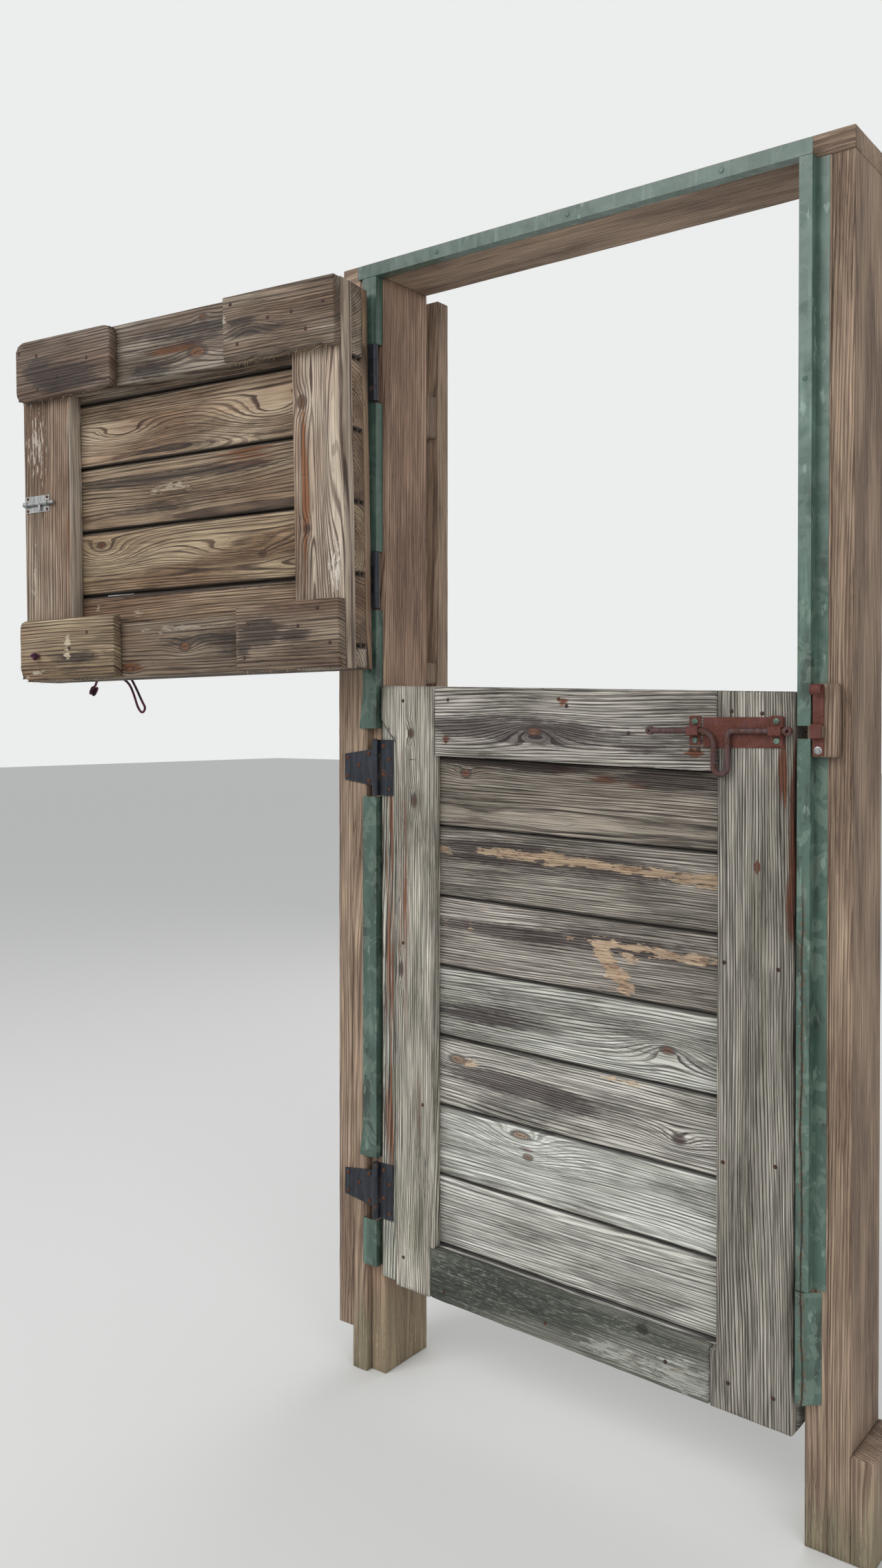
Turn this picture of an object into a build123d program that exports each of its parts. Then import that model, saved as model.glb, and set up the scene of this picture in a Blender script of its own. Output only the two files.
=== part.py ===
from build123d import *
import os
from math import cos, radians, sin, tan

# Weathered two-leaf stable door in its frame. The lower leaf is shut and bolted,
# the upper leaf stands open. X runs along the wall to the latch side, Y into the
# building, Z up. The origin is the centre of the hinge jamb's foot.
# Heights in the door's own plane start at the lower leaf's bottom hinge corner.

# Timber stock
plank_thick = 38
face_thick = 22
cleat_thick = 25
frame_depth = 140
arris = 1.5

# Frame and opening
opening_width = 892
opening_height = 2058
ground_gap = 205
jamb_setback = 16
outer_ply_foot = -120
stub_top = -30
stud_gap = 38
stud_foot = -100
block_upper = (1761, 1851)
block_lower = (1230, 1275)

# Leaves
leaf_width = 876
hinge_gap = 2
stile_width = 136
inner_setback = 3
joint_gap = 0.3
rail_height = 138
lower_height = 1222
lower_sag = 1.58
lower_pitch = 139.7
lower_board_gap = 1.2
strip_width = 38
strip_drop = (70, 114)
strip_foot = 6
strip_recess = 1
sill_rail_height = 100
sill_rail_arris = 4
sill_joint_shift = 11
leaf_gap = 32
head_gap = 30
upper_pitch = 144.7
upper_board_gap = 5
upper_top_board = 149
inner_hinge_stile = 121
inner_latch_stile = 142
inner_top_rail = 132
inner_low_rail = 120
upper_open = 171.3

# Cleats over the corners of the upper leaf's inner face
cleat_height = 136
cleat_setback = 6
cleat_inset = 2
latch_cleat = 286
hinge_cleat_top = 278
hinge_cleat_low = 256

# Hinges
pin_out = 6.4
pin_front = 7.5
pin_radius = 3
pin_end = 1
pin_head_over = 1.5
pin_head_play = 0.2
pin_head_height = 2
pin_head_taper = 25
knuckle_radius = 7
hinge_length = 114
strap_knuckle = 54
knuckle_gap = 0.5
pin_clearance = 0.04
plate_thick = 2.5
plate_reach = 8
butt_width = 33
strap_length = 80
strap_root = 76
strap_tip = 54
pin_lean = 0.52
hinge_over_foot = 184
hinge_under_top = 168
hinge_over_upper_foot = 183
lean_over_upper_foot = 386

# Screws
shank_radius = 1.75
shank_clearance = 0.2
screw_head = 4.2
screw_rise = 1.6
screw_taper = 20
screw_length = 22

# Sheet metal trim
sheet = 1
trim_front = 6
head_trim_left = -54
head_trim_right = 906
head_trim_height = 26
left_trim_outer = -42
left_trim_inner = -6
right_trim_inner = 884
right_trim_outer = 906
right_trim_hem = 4
right_trim_flange = 927
trim_flare = 9
trim_cut_room = 3
trim_knuckle_room = 4
flare_height = 70
trim_head_gap = 1
trim_over_top_hinge = 23
trim_under_top_hinge = 3
trim_over_low_hinge = 8
trim_under_low_hinge = 7
left_trim_foot = 24
right_trim_foot = 38
right_trim_split = 223
right_trim_split_gap = 1
right_lower_outer = 920
right_lower_fold = 897
notch_below_rod = 12
notch_above_rod = 9

# Slide bolt on the lower leaf and its keeper
rod_radius = 4.75
rod_under_top = 89
rod_front = 8.4
rod_left = 682
rod_right = 931
rod_eye = 7.5
eye_thick = 6
eye_hole = 2.5
handle_left = 801.3
handle_right = 826.4
handle_drop = 73.3
handle_bend_left = 24
handle_bend_right = 11
bend_margin = 0.01
bolt_travel = 62
backplate_left = 717
backplate_right = 861
backplate_drop = 28
backplate_rise = 23
backplate_thick = 2
guide_width = 21
guide_left = 692
guide_right = 838
guide_thick = 2
guide_play = 0.3
guide_tab = 18
keeper_left = 907
keeper_right = 949
keeper_drop = 42
keeper_rise = 77
keeper_thick = 18
keeper_strap_width = 18
keeper_strap_setback = 2
keeper_strap_thick = 1.5
keeper_strap_drop = 39
keeper_strap_rise = 67
keeper_strap_room = 10
keeper_curl = 9
keeper_curl_turn = 250
keeper_screw_drop = 31

# Barrel bolt on the upper leaf's inner face
barrel_over_upper_foot = 406
barrel_rod = 4
barrel_tip = 872
barrel_tail = 778
barrel_plate_left = 796
barrel_plate_right = 870
barrel_plate_height = 38
barrel_sheet = 1.5
barrel_play = 0.1
barrel_lift = 0.8
barrel_loop = 12
barrel_socket = 6
barrel_knob = 822
barrel_knob_radius = 3
barrel_knob_reach = 16
barrel_screws = (803, 863)
barrel_screw_spread = 14

# Tie cord through the upper leaf
cord_radius = 2.75
cord_hole_left = 815
cord_hole_over_foot = 56
cord_play = 0.5
cord_rest = 0.3
knot_inside = (20, 18)
knot_outside = (20, 23)
knot_taper = 24

# Places worked out from the sizes above
upper_low = lower_height + leaf_gap
upper_high = opening_height - head_gap
upper_first_seam = upper_high - upper_top_board
upper_middle = upper_low + lean_over_upper_foot
lower_hinges = (hinge_over_foot, lower_height - hinge_under_top)
upper_hinges = (upper_low + hinge_over_upper_foot, upper_high - hinge_under_top)
strip_top = (lower_height - strip_drop[0], lower_height - strip_drop[1])
rod_height = lower_height - rod_under_top
barrel_height = upper_low + barrel_over_upper_foot
cord_hole = (cord_hole_left, upper_low + cord_hole_over_foot)
face_x = plank_thick / 2
face_y = -frame_depth / 2 - jamb_setback
sill_z = ground_gap
leaf_right = hinge_gap + leaf_width
inner_right = leaf_right - inner_setback
core_front = face_thick
inner_front = face_thick + plank_thick
cleat_front = inner_front + plank_thick
pilot = shank_radius + shank_clearance
barrel_depth = cleat_front + barrel_sheet + barrel_lift + barrel_rod
hinge_half = hinge_length / 2
left_upper_span = (
    lower_hinges[1] + hinge_half + trim_over_top_hinge, opening_height - trim_head_gap
)
left_middle_span = (
    lower_hinges[0] + hinge_half + trim_over_low_hinge,
    lower_hinges[1] - hinge_half - trim_under_top_hinge,
)
left_lower_span = (left_trim_foot, lower_hinges[0] - hinge_half - trim_under_low_hinge)
right_upper_span = (right_trim_split + right_trim_split_gap, opening_height - trim_head_gap)
right_lower_span = (right_trim_foot, right_trim_split - right_trim_split_gap)
notch_low = rod_height - notch_below_rod
notch_high = rod_height + notch_above_rod
keeper_strap_left = keeper_left + keeper_strap_setback
keeper_screw = (
    keeper_strap_left + keeper_strap_width / 2, rod_height - keeper_screw_drop
)


def door_plane(front):
    """Plane of the door, its X along the wall and its Y up, set back from the leaf's face."""
    return Plane(origin=(face_x, face_y + front, sill_z), x_dir=(1, 0, 0), z_dir=(0, -1, 0))


def sagged(x, z):
    """Point of the lower leaf, which has racked down towards the latch side."""
    return (x, z - x * tan(radians(lower_sag)))


def rect(left, low, right, high):
    return [(left, low), (right, low), (right, high), (left, high)]


def racked(left, low, right, high):
    return [sagged(x, z) for x, z in rect(left, low, right, high)]


def plank(outline, front, thick, holes=(), edge=arris):
    """Board cut to an outline in the door's plane, with worn arrises and pilot holes."""
    with BuildPart() as piece:
        with BuildSketch(door_plane(front + thick)):
            with BuildLine():
                Polyline(*outline, close=True)
            make_face()
        extrude(amount=thick)
        if edge:
            chamfer(piece.edges(), edge)
        if holes:
            with BuildSketch(door_plane(front)):
                with Locations(*holes):
                    Circle(pilot)
            extrude(amount=-screw_length - screw_rise, mode=Mode.SUBTRACT)
    return piece


def inner_plane(depth):
    """Plane seen from inside the building, its X running back along the wall."""
    return Plane(origin=(face_x, face_y + depth, sill_z), x_dir=(-1, 0, 0), z_dir=(0, 1, 0))


def inner_frame(outline, low, high, latch_holes=()):
    """Stiles and rails on the inner face of a leaf, from one outline rule."""
    stile_edge = hinge_gap + inner_hinge_stile
    latch_edge = inner_right - inner_latch_stile
    rail_left = stile_edge + joint_gap
    rail_right = latch_edge - joint_gap
    return [
        plank(outline(hinge_gap, low, stile_edge, high), inner_front, plank_thick),
        plank(outline(latch_edge, low, inner_right, high), inner_front, plank_thick, latch_holes),
        plank(outline(rail_left, high - inner_top_rail, rail_right, high),
              inner_front, plank_thick),
        plank(outline(rail_left, low, rail_right, low + inner_low_rail),
              inner_front, plank_thick),
    ]


def group(pieces):
    """Pieces kept together as separate solids."""
    with BuildPart() as joined:
        for piece in pieces:
            add(piece.part)
    return joined


def screws(groups):
    """Screws in one set: each group is a list of points and how far back their seat lies."""
    with BuildPart() as piece:
        for points, seat in groups:
            with BuildSketch(door_plane(seat)):
                with Locations(*points):
                    Circle(screw_head)
            extrude(amount=screw_rise, taper=screw_taper)
            with BuildSketch(door_plane(seat)):
                with Locations(*points):
                    Circle(shank_radius)
            extrude(amount=-screw_length)
    return piece


def inner_screws(points, seat):
    """Screws driven from inside the building into a face at a depth."""
    flipped = [(-x, z) for x, z in points]
    with BuildPart() as piece:
        with BuildSketch(inner_plane(seat)):
            with Locations(*flipped):
                Circle(screw_head)
        extrude(amount=screw_rise, taper=screw_taper)
        with BuildSketch(inner_plane(seat)):
            with Locations(*flipped):
                Circle(shank_radius)
        extrude(amount=-screw_length)
    return piece


def finish(piece, node, swung=False):
    """Name a piece, swing it open where it hangs on the upper leaf, and write it out."""
    if swung:
        piece.part = piece.part.rotate(upper_pin, -upper_open)
    piece.part.label = node
    export_step(piece.part, f"parts/{node}.step")


# Hinge placing
def hinge_plane(height, lean):
    """Plane across a hinge pin at a height, X towards the leaf and Z along the pin."""
    turn = radians(lean)
    slip = (height - upper_middle) * tan(turn)
    return Plane(
        origin=(face_x - pin_out - slip, face_y - pin_front, sill_z + height),
        x_dir=(cos(turn), 0, sin(turn)),
        z_dir=(-sin(turn), 0, cos(turn)),
    )


def plate_plane(pin_plane):
    """Plane of a hinge plate's back, on the face that it is screwed to."""
    back = pin_plane.origin + Vector(0, pin_front, 0)
    return Plane(origin=back, x_dir=pin_plane.x_dir, z_dir=(0, -1, 0))


def on_plate(pin_plane, points):
    """Places of a plate's screws in the door's plane."""
    found = []
    for x, z in points:
        spot = plate_plane(pin_plane).from_local_coords(Vector(x, z, 0))
        found.append((spot.X - face_x, spot.Z - sill_z))
    return found


strap_half = strap_knuckle / 2
butt_spans = [(-hinge_half, -strap_half - knuckle_gap), (strap_half + knuckle_gap, hinge_half)]
strap_spans = [(-strap_half, strap_half)]
butt_outline = rect(plate_reach, -hinge_half, plate_reach + butt_width, hinge_half)
strap_outline = [
    (-plate_reach, -strap_root / 2),
    (-plate_reach, strap_root / 2),
    (-plate_reach - strap_length, strap_tip / 2),
    (-plate_reach - strap_length, -strap_tip / 2),
]
butt_holes = [(17, 44), (32, 17), (17, -14), (32, -44)]
strap_holes = [(-22, 28), (-50, 4), (-80, 19), (-80, -19), (-22, -28)]
lower_pins = [hinge_plane(height, 0) for height in lower_hinges]
upper_pins = [hinge_plane(height, pin_lean) for height in upper_hinges]
upper_pin = Axis(
    origin=hinge_plane(upper_middle, pin_lean).origin,
    direction=hinge_plane(upper_middle, pin_lean).z_dir,
)


def hinge_leaves(pin_planes, outline, spans, holes, side):
    """Hinge plates with their knuckles, one for each pin."""
    with BuildPart() as piece:
        for pin_plane in pin_planes:
            for low, high in spans:
                with BuildSketch(pin_plane.offset(low)):
                    Circle(knuckle_radius)
                    with Locations((side * plate_reach / 2, pin_front - plate_thick / 2)):
                        Rectangle(plate_reach, plate_thick)
                extrude(amount=high - low)
            with BuildSketch(plate_plane(pin_plane)) as plate:
                with BuildLine():
                    Polyline(*outline, close=True)
                make_face()
                with Locations(*holes):
                    Circle(pilot, mode=Mode.SUBTRACT)
            extrude(amount=plate_thick)
            with BuildSketch(pin_plane.offset(-hinge_half)):
                Circle(pin_radius + pin_clearance)
            extrude(amount=hinge_length, mode=Mode.SUBTRACT)
    return piece


def hinge_pins(pin_planes):
    """Pins with a low head at the top and a riveted end below."""
    head = pin_radius + pin_head_over
    with BuildPart() as piece:
        for pin_plane in pin_planes:
            with BuildSketch(pin_plane.offset(-hinge_half - pin_end)):
                Circle(pin_radius)
            extrude(amount=pin_end + hinge_length + pin_head_play)
            with BuildSketch(pin_plane.offset(hinge_half + pin_head_play)):
                Circle(head)
            extrude(amount=pin_head_height, taper=pin_head_taper)
    return piece


# Bent sheet
def trim_plane(low):
    """Plan view of the door at a height, with its origin at the leaf's hinge corner."""
    return Plane(origin=(face_x, face_y, sill_z + low))


def end_plane(left):
    """End view of the door from the latch side, X into the building and Y up."""
    return Plane(origin=(face_x + left, face_y, sill_z), x_dir=(0, 1, 0), z_dir=(1, 0, 0))


def bent_sheet(points, plane, length, thick=sheet, side=Side.RIGHT):
    """Sheet folded to a line on a plane and running along that plane's normal."""
    with BuildPart() as piece:
        with BuildSketch(plane):
            with BuildLine():
                Polyline(*points)
                offset(amount=thick, side=side, kind=Kind.INTERSECTION)
            make_face()
        extrude(amount=length)
    return piece


left_trim_line = [
    (left_trim_inner, jamb_setback),
    (left_trim_inner, -trim_front),
    (left_trim_outer, -trim_front),
    (left_trim_outer, 0),
]


def left_trim(low, high, flared, hinges=()):
    """Run of the hinge-side trim, cut round any hinge, with its foot bent out if flared."""
    blank = bent_sheet(left_trim_line, trim_plane(low), high - low)
    with BuildPart() as piece:
        add(blank.part)
        if flared:
            with BuildSketch(door_plane(-trim_front + sheet)):
                with BuildLine():
                    Polyline(
                        (left_trim_outer, low + flare_height),
                        (left_trim_outer - trim_flare, low),
                        (left_trim_outer, low),
                        close=True,
                    )
                make_face()
            extrude(amount=sheet)
        for height in hinges:
            cut = hinge_half + trim_cut_room
            with BuildSketch(door_plane(-trim_front - 1)):
                with Locations((left_trim_inner - 1, height)):
                    Rectangle(2 * (knuckle_radius + trim_knuckle_room), 2 * cut)
            extrude(amount=-trim_front - jamb_setback - 2, mode=Mode.SUBTRACT)
            with BuildSketch(door_plane(-plate_thick - 1)):
                with Locations((left_trim_outer, height)):
                    Rectangle(2 * trim_cut_room, strap_root + 2 * trim_cut_room)
            extrude(amount=-plate_thick - 2, mode=Mode.SUBTRACT)
    return piece


os.makedirs("parts", exist_ok=True)

# Frame timbers
outer_left = -3 * plank_thick
latch_jamb_right = opening_width + plank_thick
latch_post_right = latch_jamb_right + plank_thick
foot = -ground_gap
strap_screws = [spot for pin in lower_pins + upper_pins for spot in on_plate(pin, strap_holes)]


def between(points, left, right):
    """Screws whose shanks lie wholly inside a board."""
    return [spot for spot in points if left + pilot < spot[0] < right - pilot]


def vertical(left, right, low, high, front, holes=()):
    return plank(rect(left, low, right, high), front, frame_depth, holes)


hinge_jamb = vertical(
    -plank_thick, 0, foot, opening_height, jamb_setback, between(strap_screws, -plank_thick, 0)
)
finish(hinge_jamb, "hinge_jamb")
hinge_post_inner = vertical(
    -2 * plank_thick, -plank_thick, foot, opening_height, 0,
    between(strap_screws, -2 * plank_thick, -plank_thick),
)
finish(hinge_post_inner, "hinge_post_inner")
hinge_post_outer = vertical(
    outer_left, -2 * plank_thick, outer_ply_foot, opening_height, 0,
    between(strap_screws, outer_left, -2 * plank_thick),
)
finish(hinge_post_outer, "hinge_post_outer")

jamb_blank = vertical(
    opening_width, latch_jamb_right, foot, opening_height, jamb_setback, [keeper_screw]
)
with BuildPart() as latch_jamb:
    add(jamb_blank.part)
    with BuildSketch(end_plane(opening_width)):
        with Locations((barrel_depth, barrel_height)):
            Circle(barrel_socket)
    extrude(amount=plank_thick, mode=Mode.SUBTRACT)
finish(latch_jamb, "latch_jamb")
latch_post = vertical(latch_jamb_right, latch_post_right, foot, opening_height, jamb_setback)
finish(latch_post, "latch_post")
latch_stub = vertical(
    latch_post_right, latch_post_right + plank_thick, foot, stub_top, jamb_setback
)
finish(latch_stub, "latch_stub")
head_board = plank(
    rect(outer_left, opening_height, latch_post_right, opening_height + plank_thick),
    jamb_setback,
    frame_depth,
)
finish(head_board, "head_board")

stud_front = jamb_setback + frame_depth + stud_gap
stud_blank = plank(rect(-plank_thick, stud_foot, 0, opening_height), stud_front, plank_thick)
with BuildPart() as inner_stud:
    add(stud_blank.part)
    for low, high in (block_upper, block_lower):
        with BuildSketch(door_plane(stud_front + arris)):
            with Locations((-plank_thick / 2, (low + high) / 2)):
                Rectangle(plank_thick - 4 * arris, high - low)
        extrude(amount=stud_gap + arris)
finish(inner_stud, "inner_stud")

# Trim
head_trim = bent_sheet(
    [
        (jamb_setback, opening_height),
        (-trim_front, opening_height),
        (-trim_front, opening_height + head_trim_height),
    ],
    end_plane(head_trim_left),
    head_trim_right - head_trim_left,
)
finish(head_trim, "head_trim")
finish(left_trim(*left_upper_span, True, upper_hinges), "hinge_trim_upper")
finish(left_trim(*left_middle_span, True), "hinge_trim_middle")
finish(left_trim(*left_lower_span, False), "hinge_trim_lower")

trim_back = sheet - trim_front
right_trim_line = [
    (right_trim_inner + sheet, right_trim_hem - trim_front),
    (right_trim_inner + sheet, trim_back),
    (right_trim_outer - sheet, trim_back),
    (right_trim_outer - sheet, jamb_setback),
    (right_trim_flange, jamb_setback),
]
right_low, right_high = right_upper_span
right_blank = bent_sheet(right_trim_line, trim_plane(right_low), right_high - right_low)
with BuildPart() as latch_trim_upper:
    add(right_blank.part)
    with BuildSketch(door_plane(-trim_front)):
        with Locations((opening_width, (notch_low + notch_high) / 2)):
            Rectangle(2 * (right_trim_outer - opening_width) + 4, notch_high - notch_low)
    extrude(amount=-right_trim_hem - sheet, mode=Mode.SUBTRACT)
    with BuildSketch(door_plane(0)):
        with Locations(keeper_screw):
            Circle(pilot)
    extrude(amount=-jamb_setback, mode=Mode.SUBTRACT)
finish(latch_trim_upper, "latch_trim_upper")
right_lower_line = [
    (right_trim_inner + sheet, right_trim_hem - trim_front),
    (right_trim_inner + sheet, trim_back),
    (right_lower_fold, trim_back),
    (right_lower_outer, jamb_setback),
]
latch_trim_lower = bent_sheet(
    right_lower_line,
    trim_plane(right_lower_span[0]),
    right_lower_span[1] - right_lower_span[0],
)
finish(latch_trim_lower, "latch_trim_lower")

# Keeper for the slide bolt
keeper_back = jamb_setback - sheet
keeper_block = plank(
    rect(keeper_left, rod_height - keeper_drop, keeper_right, rod_height + keeper_rise),
    keeper_back - keeper_thick,
    keeper_thick,
    [keeper_screw],
)
finish(keeper_block, "keeper_block")
keeper_front = keeper_back - keeper_thick
keeper_bridge = -rod_front - rod_radius - guide_play
strap_run = [
    (keeper_front, rod_height - keeper_strap_drop),
    (keeper_front, rod_height - keeper_strap_room),
    (keeper_bridge, rod_height - keeper_strap_room),
    (keeper_bridge, rod_height + keeper_strap_room),
    (keeper_front, rod_height + keeper_strap_room),
    (keeper_front, rod_height + keeper_strap_rise),
]
with BuildPart() as keeper_strap:
    with BuildSketch(end_plane(keeper_strap_left)):
        with BuildLine():
            run = Polyline(*strap_run)
            JernArc(start=run @ 1, tangent=(0, 1), radius=keeper_curl, arc_size=keeper_curl_turn)
            offset(amount=keeper_strap_thick, side=Side.LEFT)
        make_face()
    extrude(amount=keeper_strap_width)
    with BuildSketch(door_plane(keeper_front - keeper_strap_thick)):
        with Locations(keeper_screw):
            Circle(pilot)
    extrude(amount=-keeper_strap_thick, mode=Mode.SUBTRACT)
finish(keeper_strap, "keeper_strap")

# Hinges
all_pins = lower_pins + upper_pins
finish(hinge_leaves(all_pins, strap_outline, strap_spans, strap_holes, -1), "hinge_straps")
finish(hinge_pins(all_pins), "hinge_pins")
finish(hinge_leaves(lower_pins, butt_outline, butt_spans, butt_holes, 1), "lower_butts")
finish(hinge_leaves(upper_pins, butt_outline, butt_spans, butt_holes, 1), "upper_butts", True)
frame_screws = screws([
    (strap_screws, -plate_thick),
    ([keeper_screw], keeper_front - keeper_strap_thick),
])
finish(frame_screws, "frame_screws")
lower_butt_screws = [spot for pin in lower_pins for spot in on_plate(pin, butt_holes)]
upper_butt_screws = [spot for pin in upper_pins for spot in on_plate(pin, butt_holes)]
guide_reach = rod_radius + guide_play + guide_thick + guide_tab / 2
guide_middle = guide_width / 2
left_guide_screws = [
    (guide_left + guide_middle, rod_height + guide_reach),
    (guide_left + guide_middle, rod_height - guide_reach),
]
right_guide_screws = [
    (guide_right + guide_middle, rod_height + guide_reach),
    (guide_right + guide_middle, rod_height - guide_reach),
]
lower_screws = screws([
    (lower_butt_screws, -plate_thick),
    (left_guide_screws, -guide_thick),
    (right_guide_screws, -guide_thick - backplate_thick),
])
finish(lower_screws, "lower_screws")

# Lower leaf's outer frame
stile_right = hinge_gap + stile_width
latch_stile_left = leaf_right - stile_width
strip_right = hinge_gap + strip_width
lower_hinge_stile = plank(
    [
        sagged(x, z) for x, z in [
            (strip_right, 0),
            (stile_right - sill_joint_shift, 0),
            (stile_right - sill_joint_shift, sill_rail_height),
            (stile_right, sill_rail_height),
            (stile_right, lower_height),
            (hinge_gap, lower_height),
            (hinge_gap, strip_top[0]),
            (strip_right, strip_top[1]),
        ]
    ],
    0,
    face_thick,
)
finish(lower_hinge_stile, "lower_hinge_stile")
split_gap = lower_board_gap
lower_hinge_strip = plank(
    [
        sagged(x, z) for x, z in [
            (hinge_gap, strip_foot),
            (strip_right - split_gap, strip_foot),
            (strip_right - split_gap, strip_top[1] - split_gap),
            (hinge_gap, strip_top[0] - 2 * split_gap),
        ]
    ],
    strip_recess,
    face_thick - strip_recess,
    lower_butt_screws,
)
finish(lower_hinge_strip, "lower_hinge_strip")
lower_latch_stile = plank(
    [
        sagged(x, z) for x, z in [
            (latch_stile_left - sill_joint_shift, 0),
            (leaf_right, 0),
            (leaf_right, lower_height),
            (latch_stile_left, lower_height),
            (latch_stile_left, sill_rail_height),
            (latch_stile_left - sill_joint_shift, sill_rail_height),
        ]
    ],
    0,
    face_thick,
    right_guide_screws,
)
finish(lower_latch_stile, "lower_latch_stile")
lower_top_rail = plank(
    racked(
        stile_right + joint_gap, lower_height - rail_height,
        latch_stile_left - joint_gap, lower_height,
    ),
    0,
    face_thick,
    left_guide_screws,
)
finish(lower_top_rail, "lower_top_rail")
lower_sill_rail = plank(
    racked(
        stile_right - sill_joint_shift + joint_gap, 0,
        latch_stile_left - sill_joint_shift - joint_gap, sill_rail_height,
    ),
    0,
    face_thick,
    edge=sill_rail_arris,
)
finish(lower_sill_rail, "lower_sill_rail")

# Boards of both leaves
lower_boards = [(lower_height - rail_height, lower_height)]
while lower_boards[-1][0] > 0:
    top = lower_boards[-1][0]
    lower_boards.append((max(0, top - lower_pitch), top))
for number, (low, high) in enumerate(lower_boards):
    seam = lower_board_gap / 2
    board = plank(
        racked(hinge_gap, low + seam * (low > 0), leaf_right, high - seam * (number > 0)),
        core_front,
        plank_thick,
    )
    finish(board, f"lower_board_{number}")

# Lower leaf's inner frame
finish(group(inner_frame(racked, 0, lower_height)), "lower_inner_frame")

# Upper leaf, drawn shut and then swung open
upper_boards = [(upper_first_seam, upper_high)]
while upper_boards[-1][0] > upper_low:
    top = upper_boards[-1][0]
    upper_boards.append((max(upper_low, top - upper_pitch), top))
cord_drill = cord_radius + cord_play


def drilled(blank, front, thick):
    """Piece with the cord's hole through it."""
    with BuildPart() as piece:
        add(blank.part)
        with BuildSketch(door_plane(front)):
            with Locations(cord_hole):
                Circle(cord_drill)
        extrude(amount=-thick, mode=Mode.SUBTRACT)
    return piece


for number, (low, high) in enumerate(upper_boards):
    seam = upper_board_gap / 2
    outline = rect(
        hinge_gap, low + seam * (low > upper_low), leaf_right, high - seam * (number > 0)
    )
    board = plank(outline, core_front, plank_thick)
    if low < cord_hole[1] < high:
        board = drilled(board, core_front, plank_thick)
    finish(board, f"upper_board_{number}", True)

upper_outer_hinge = plank(
    rect(hinge_gap, upper_low, stile_right, upper_high), 0, face_thick, upper_butt_screws
)
upper_outer_latch = drilled(
    plank(rect(latch_stile_left, upper_low, leaf_right, upper_high), 0, face_thick),
    0,
    face_thick,
)
upper_outer_rails = [
    plank(
        rect(stile_right + joint_gap, low, latch_stile_left - joint_gap, low + rail_height),
        0,
        face_thick,
    )
    for low in (upper_high - rail_height, upper_low)
]
upper_outer = [upper_outer_hinge, upper_outer_latch] + upper_outer_rails
finish(group(upper_outer), "upper_outer_frame", True)

barrel_spots = [
    (x, barrel_height + side * barrel_screw_spread)
    for x in barrel_screws for side in (1, -1)
]
upper_inner = inner_frame(rect, upper_low, upper_high)
with BuildPart() as upper_latch_stile:
    add(drilled(upper_inner[1], inner_front, plank_thick).part)
    with BuildSketch(inner_plane(cleat_front)):
        with Locations(*[(-x, z) for x, z in barrel_spots]):
            Circle(pilot)
    extrude(amount=-screw_length - screw_rise, mode=Mode.SUBTRACT)
finish(upper_inner[0], "upper_hinge_stile", True)
finish(upper_latch_stile, "upper_latch_stile", True)
finish(upper_inner[2], "upper_top_rail", True)
finish(upper_inner[3], "upper_low_rail", True)

# Cleats across the corners of the upper leaf
cleat_right = leaf_right - cleat_setback
cleat_low = upper_low + cleat_inset
cleat_top = upper_high - cleat_inset
cleat_edge = 2 * arris


def cleat(left, low, right):
    return plank(
        rect(left, low, right, low + cleat_height), cleat_front, cleat_thick, edge=cleat_edge
    )


cleat_upper = cleat_top - cleat_height
finish(cleat(hinge_gap, cleat_upper, hinge_cleat_top), "cleat_top_hinge", True)
finish(cleat(cleat_right - latch_cleat, cleat_upper, cleat_right), "cleat_top_latch", True)
finish(cleat(hinge_gap, cleat_low, hinge_cleat_low), "cleat_low_hinge", True)
cleat_low_latch = drilled(
    cleat(cleat_right - latch_cleat, cleat_low, cleat_right), cleat_front, cleat_thick
)
finish(cleat_low_latch, "cleat_low_latch", True)


# Slide bolt with its bent handle
def guide(left, seat):
    """Strap bent over the rod, with a tab above and below."""
    inner = rod_radius + guide_play
    bridge = -rod_front - inner
    line = [
        (seat, rod_height - inner - guide_thick - guide_tab),
        (seat, rod_height - inner),
        (bridge, rod_height - inner),
        (bridge, rod_height + inner),
        (seat, rod_height + inner),
        (seat, rod_height + inner + guide_thick + guide_tab),
    ]
    blank = bent_sheet(line, end_plane(left), guide_width, guide_thick, Side.LEFT)
    with BuildPart() as piece:
        add(blank.part)
        with BuildSketch(door_plane(seat - guide_thick)):
            with Locations(
                (left + guide_middle, rod_height + guide_reach),
                (left + guide_middle, rod_height - guide_reach),
            ):
                Circle(pilot)
        extrude(amount=-guide_thick, mode=Mode.SUBTRACT)
    return piece


with BuildPart() as bolt_backplate:
    with BuildSketch(door_plane(0)):
        with BuildLine():
            Polyline(
                *rect(
                    backplate_left, rod_height - backplate_drop,
                    backplate_right, rod_height + backplate_rise,
                ),
                close=True,
            )
        make_face()
        with Locations(*right_guide_screws):
            Circle(pilot, mode=Mode.SUBTRACT)
    extrude(amount=backplate_thick)
finish(bolt_backplate, "bolt_backplate")
guides = group([guide(guide_left, 0), guide(guide_right, -backplate_thick)])
finish(guides, "bolt_guides")

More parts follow.
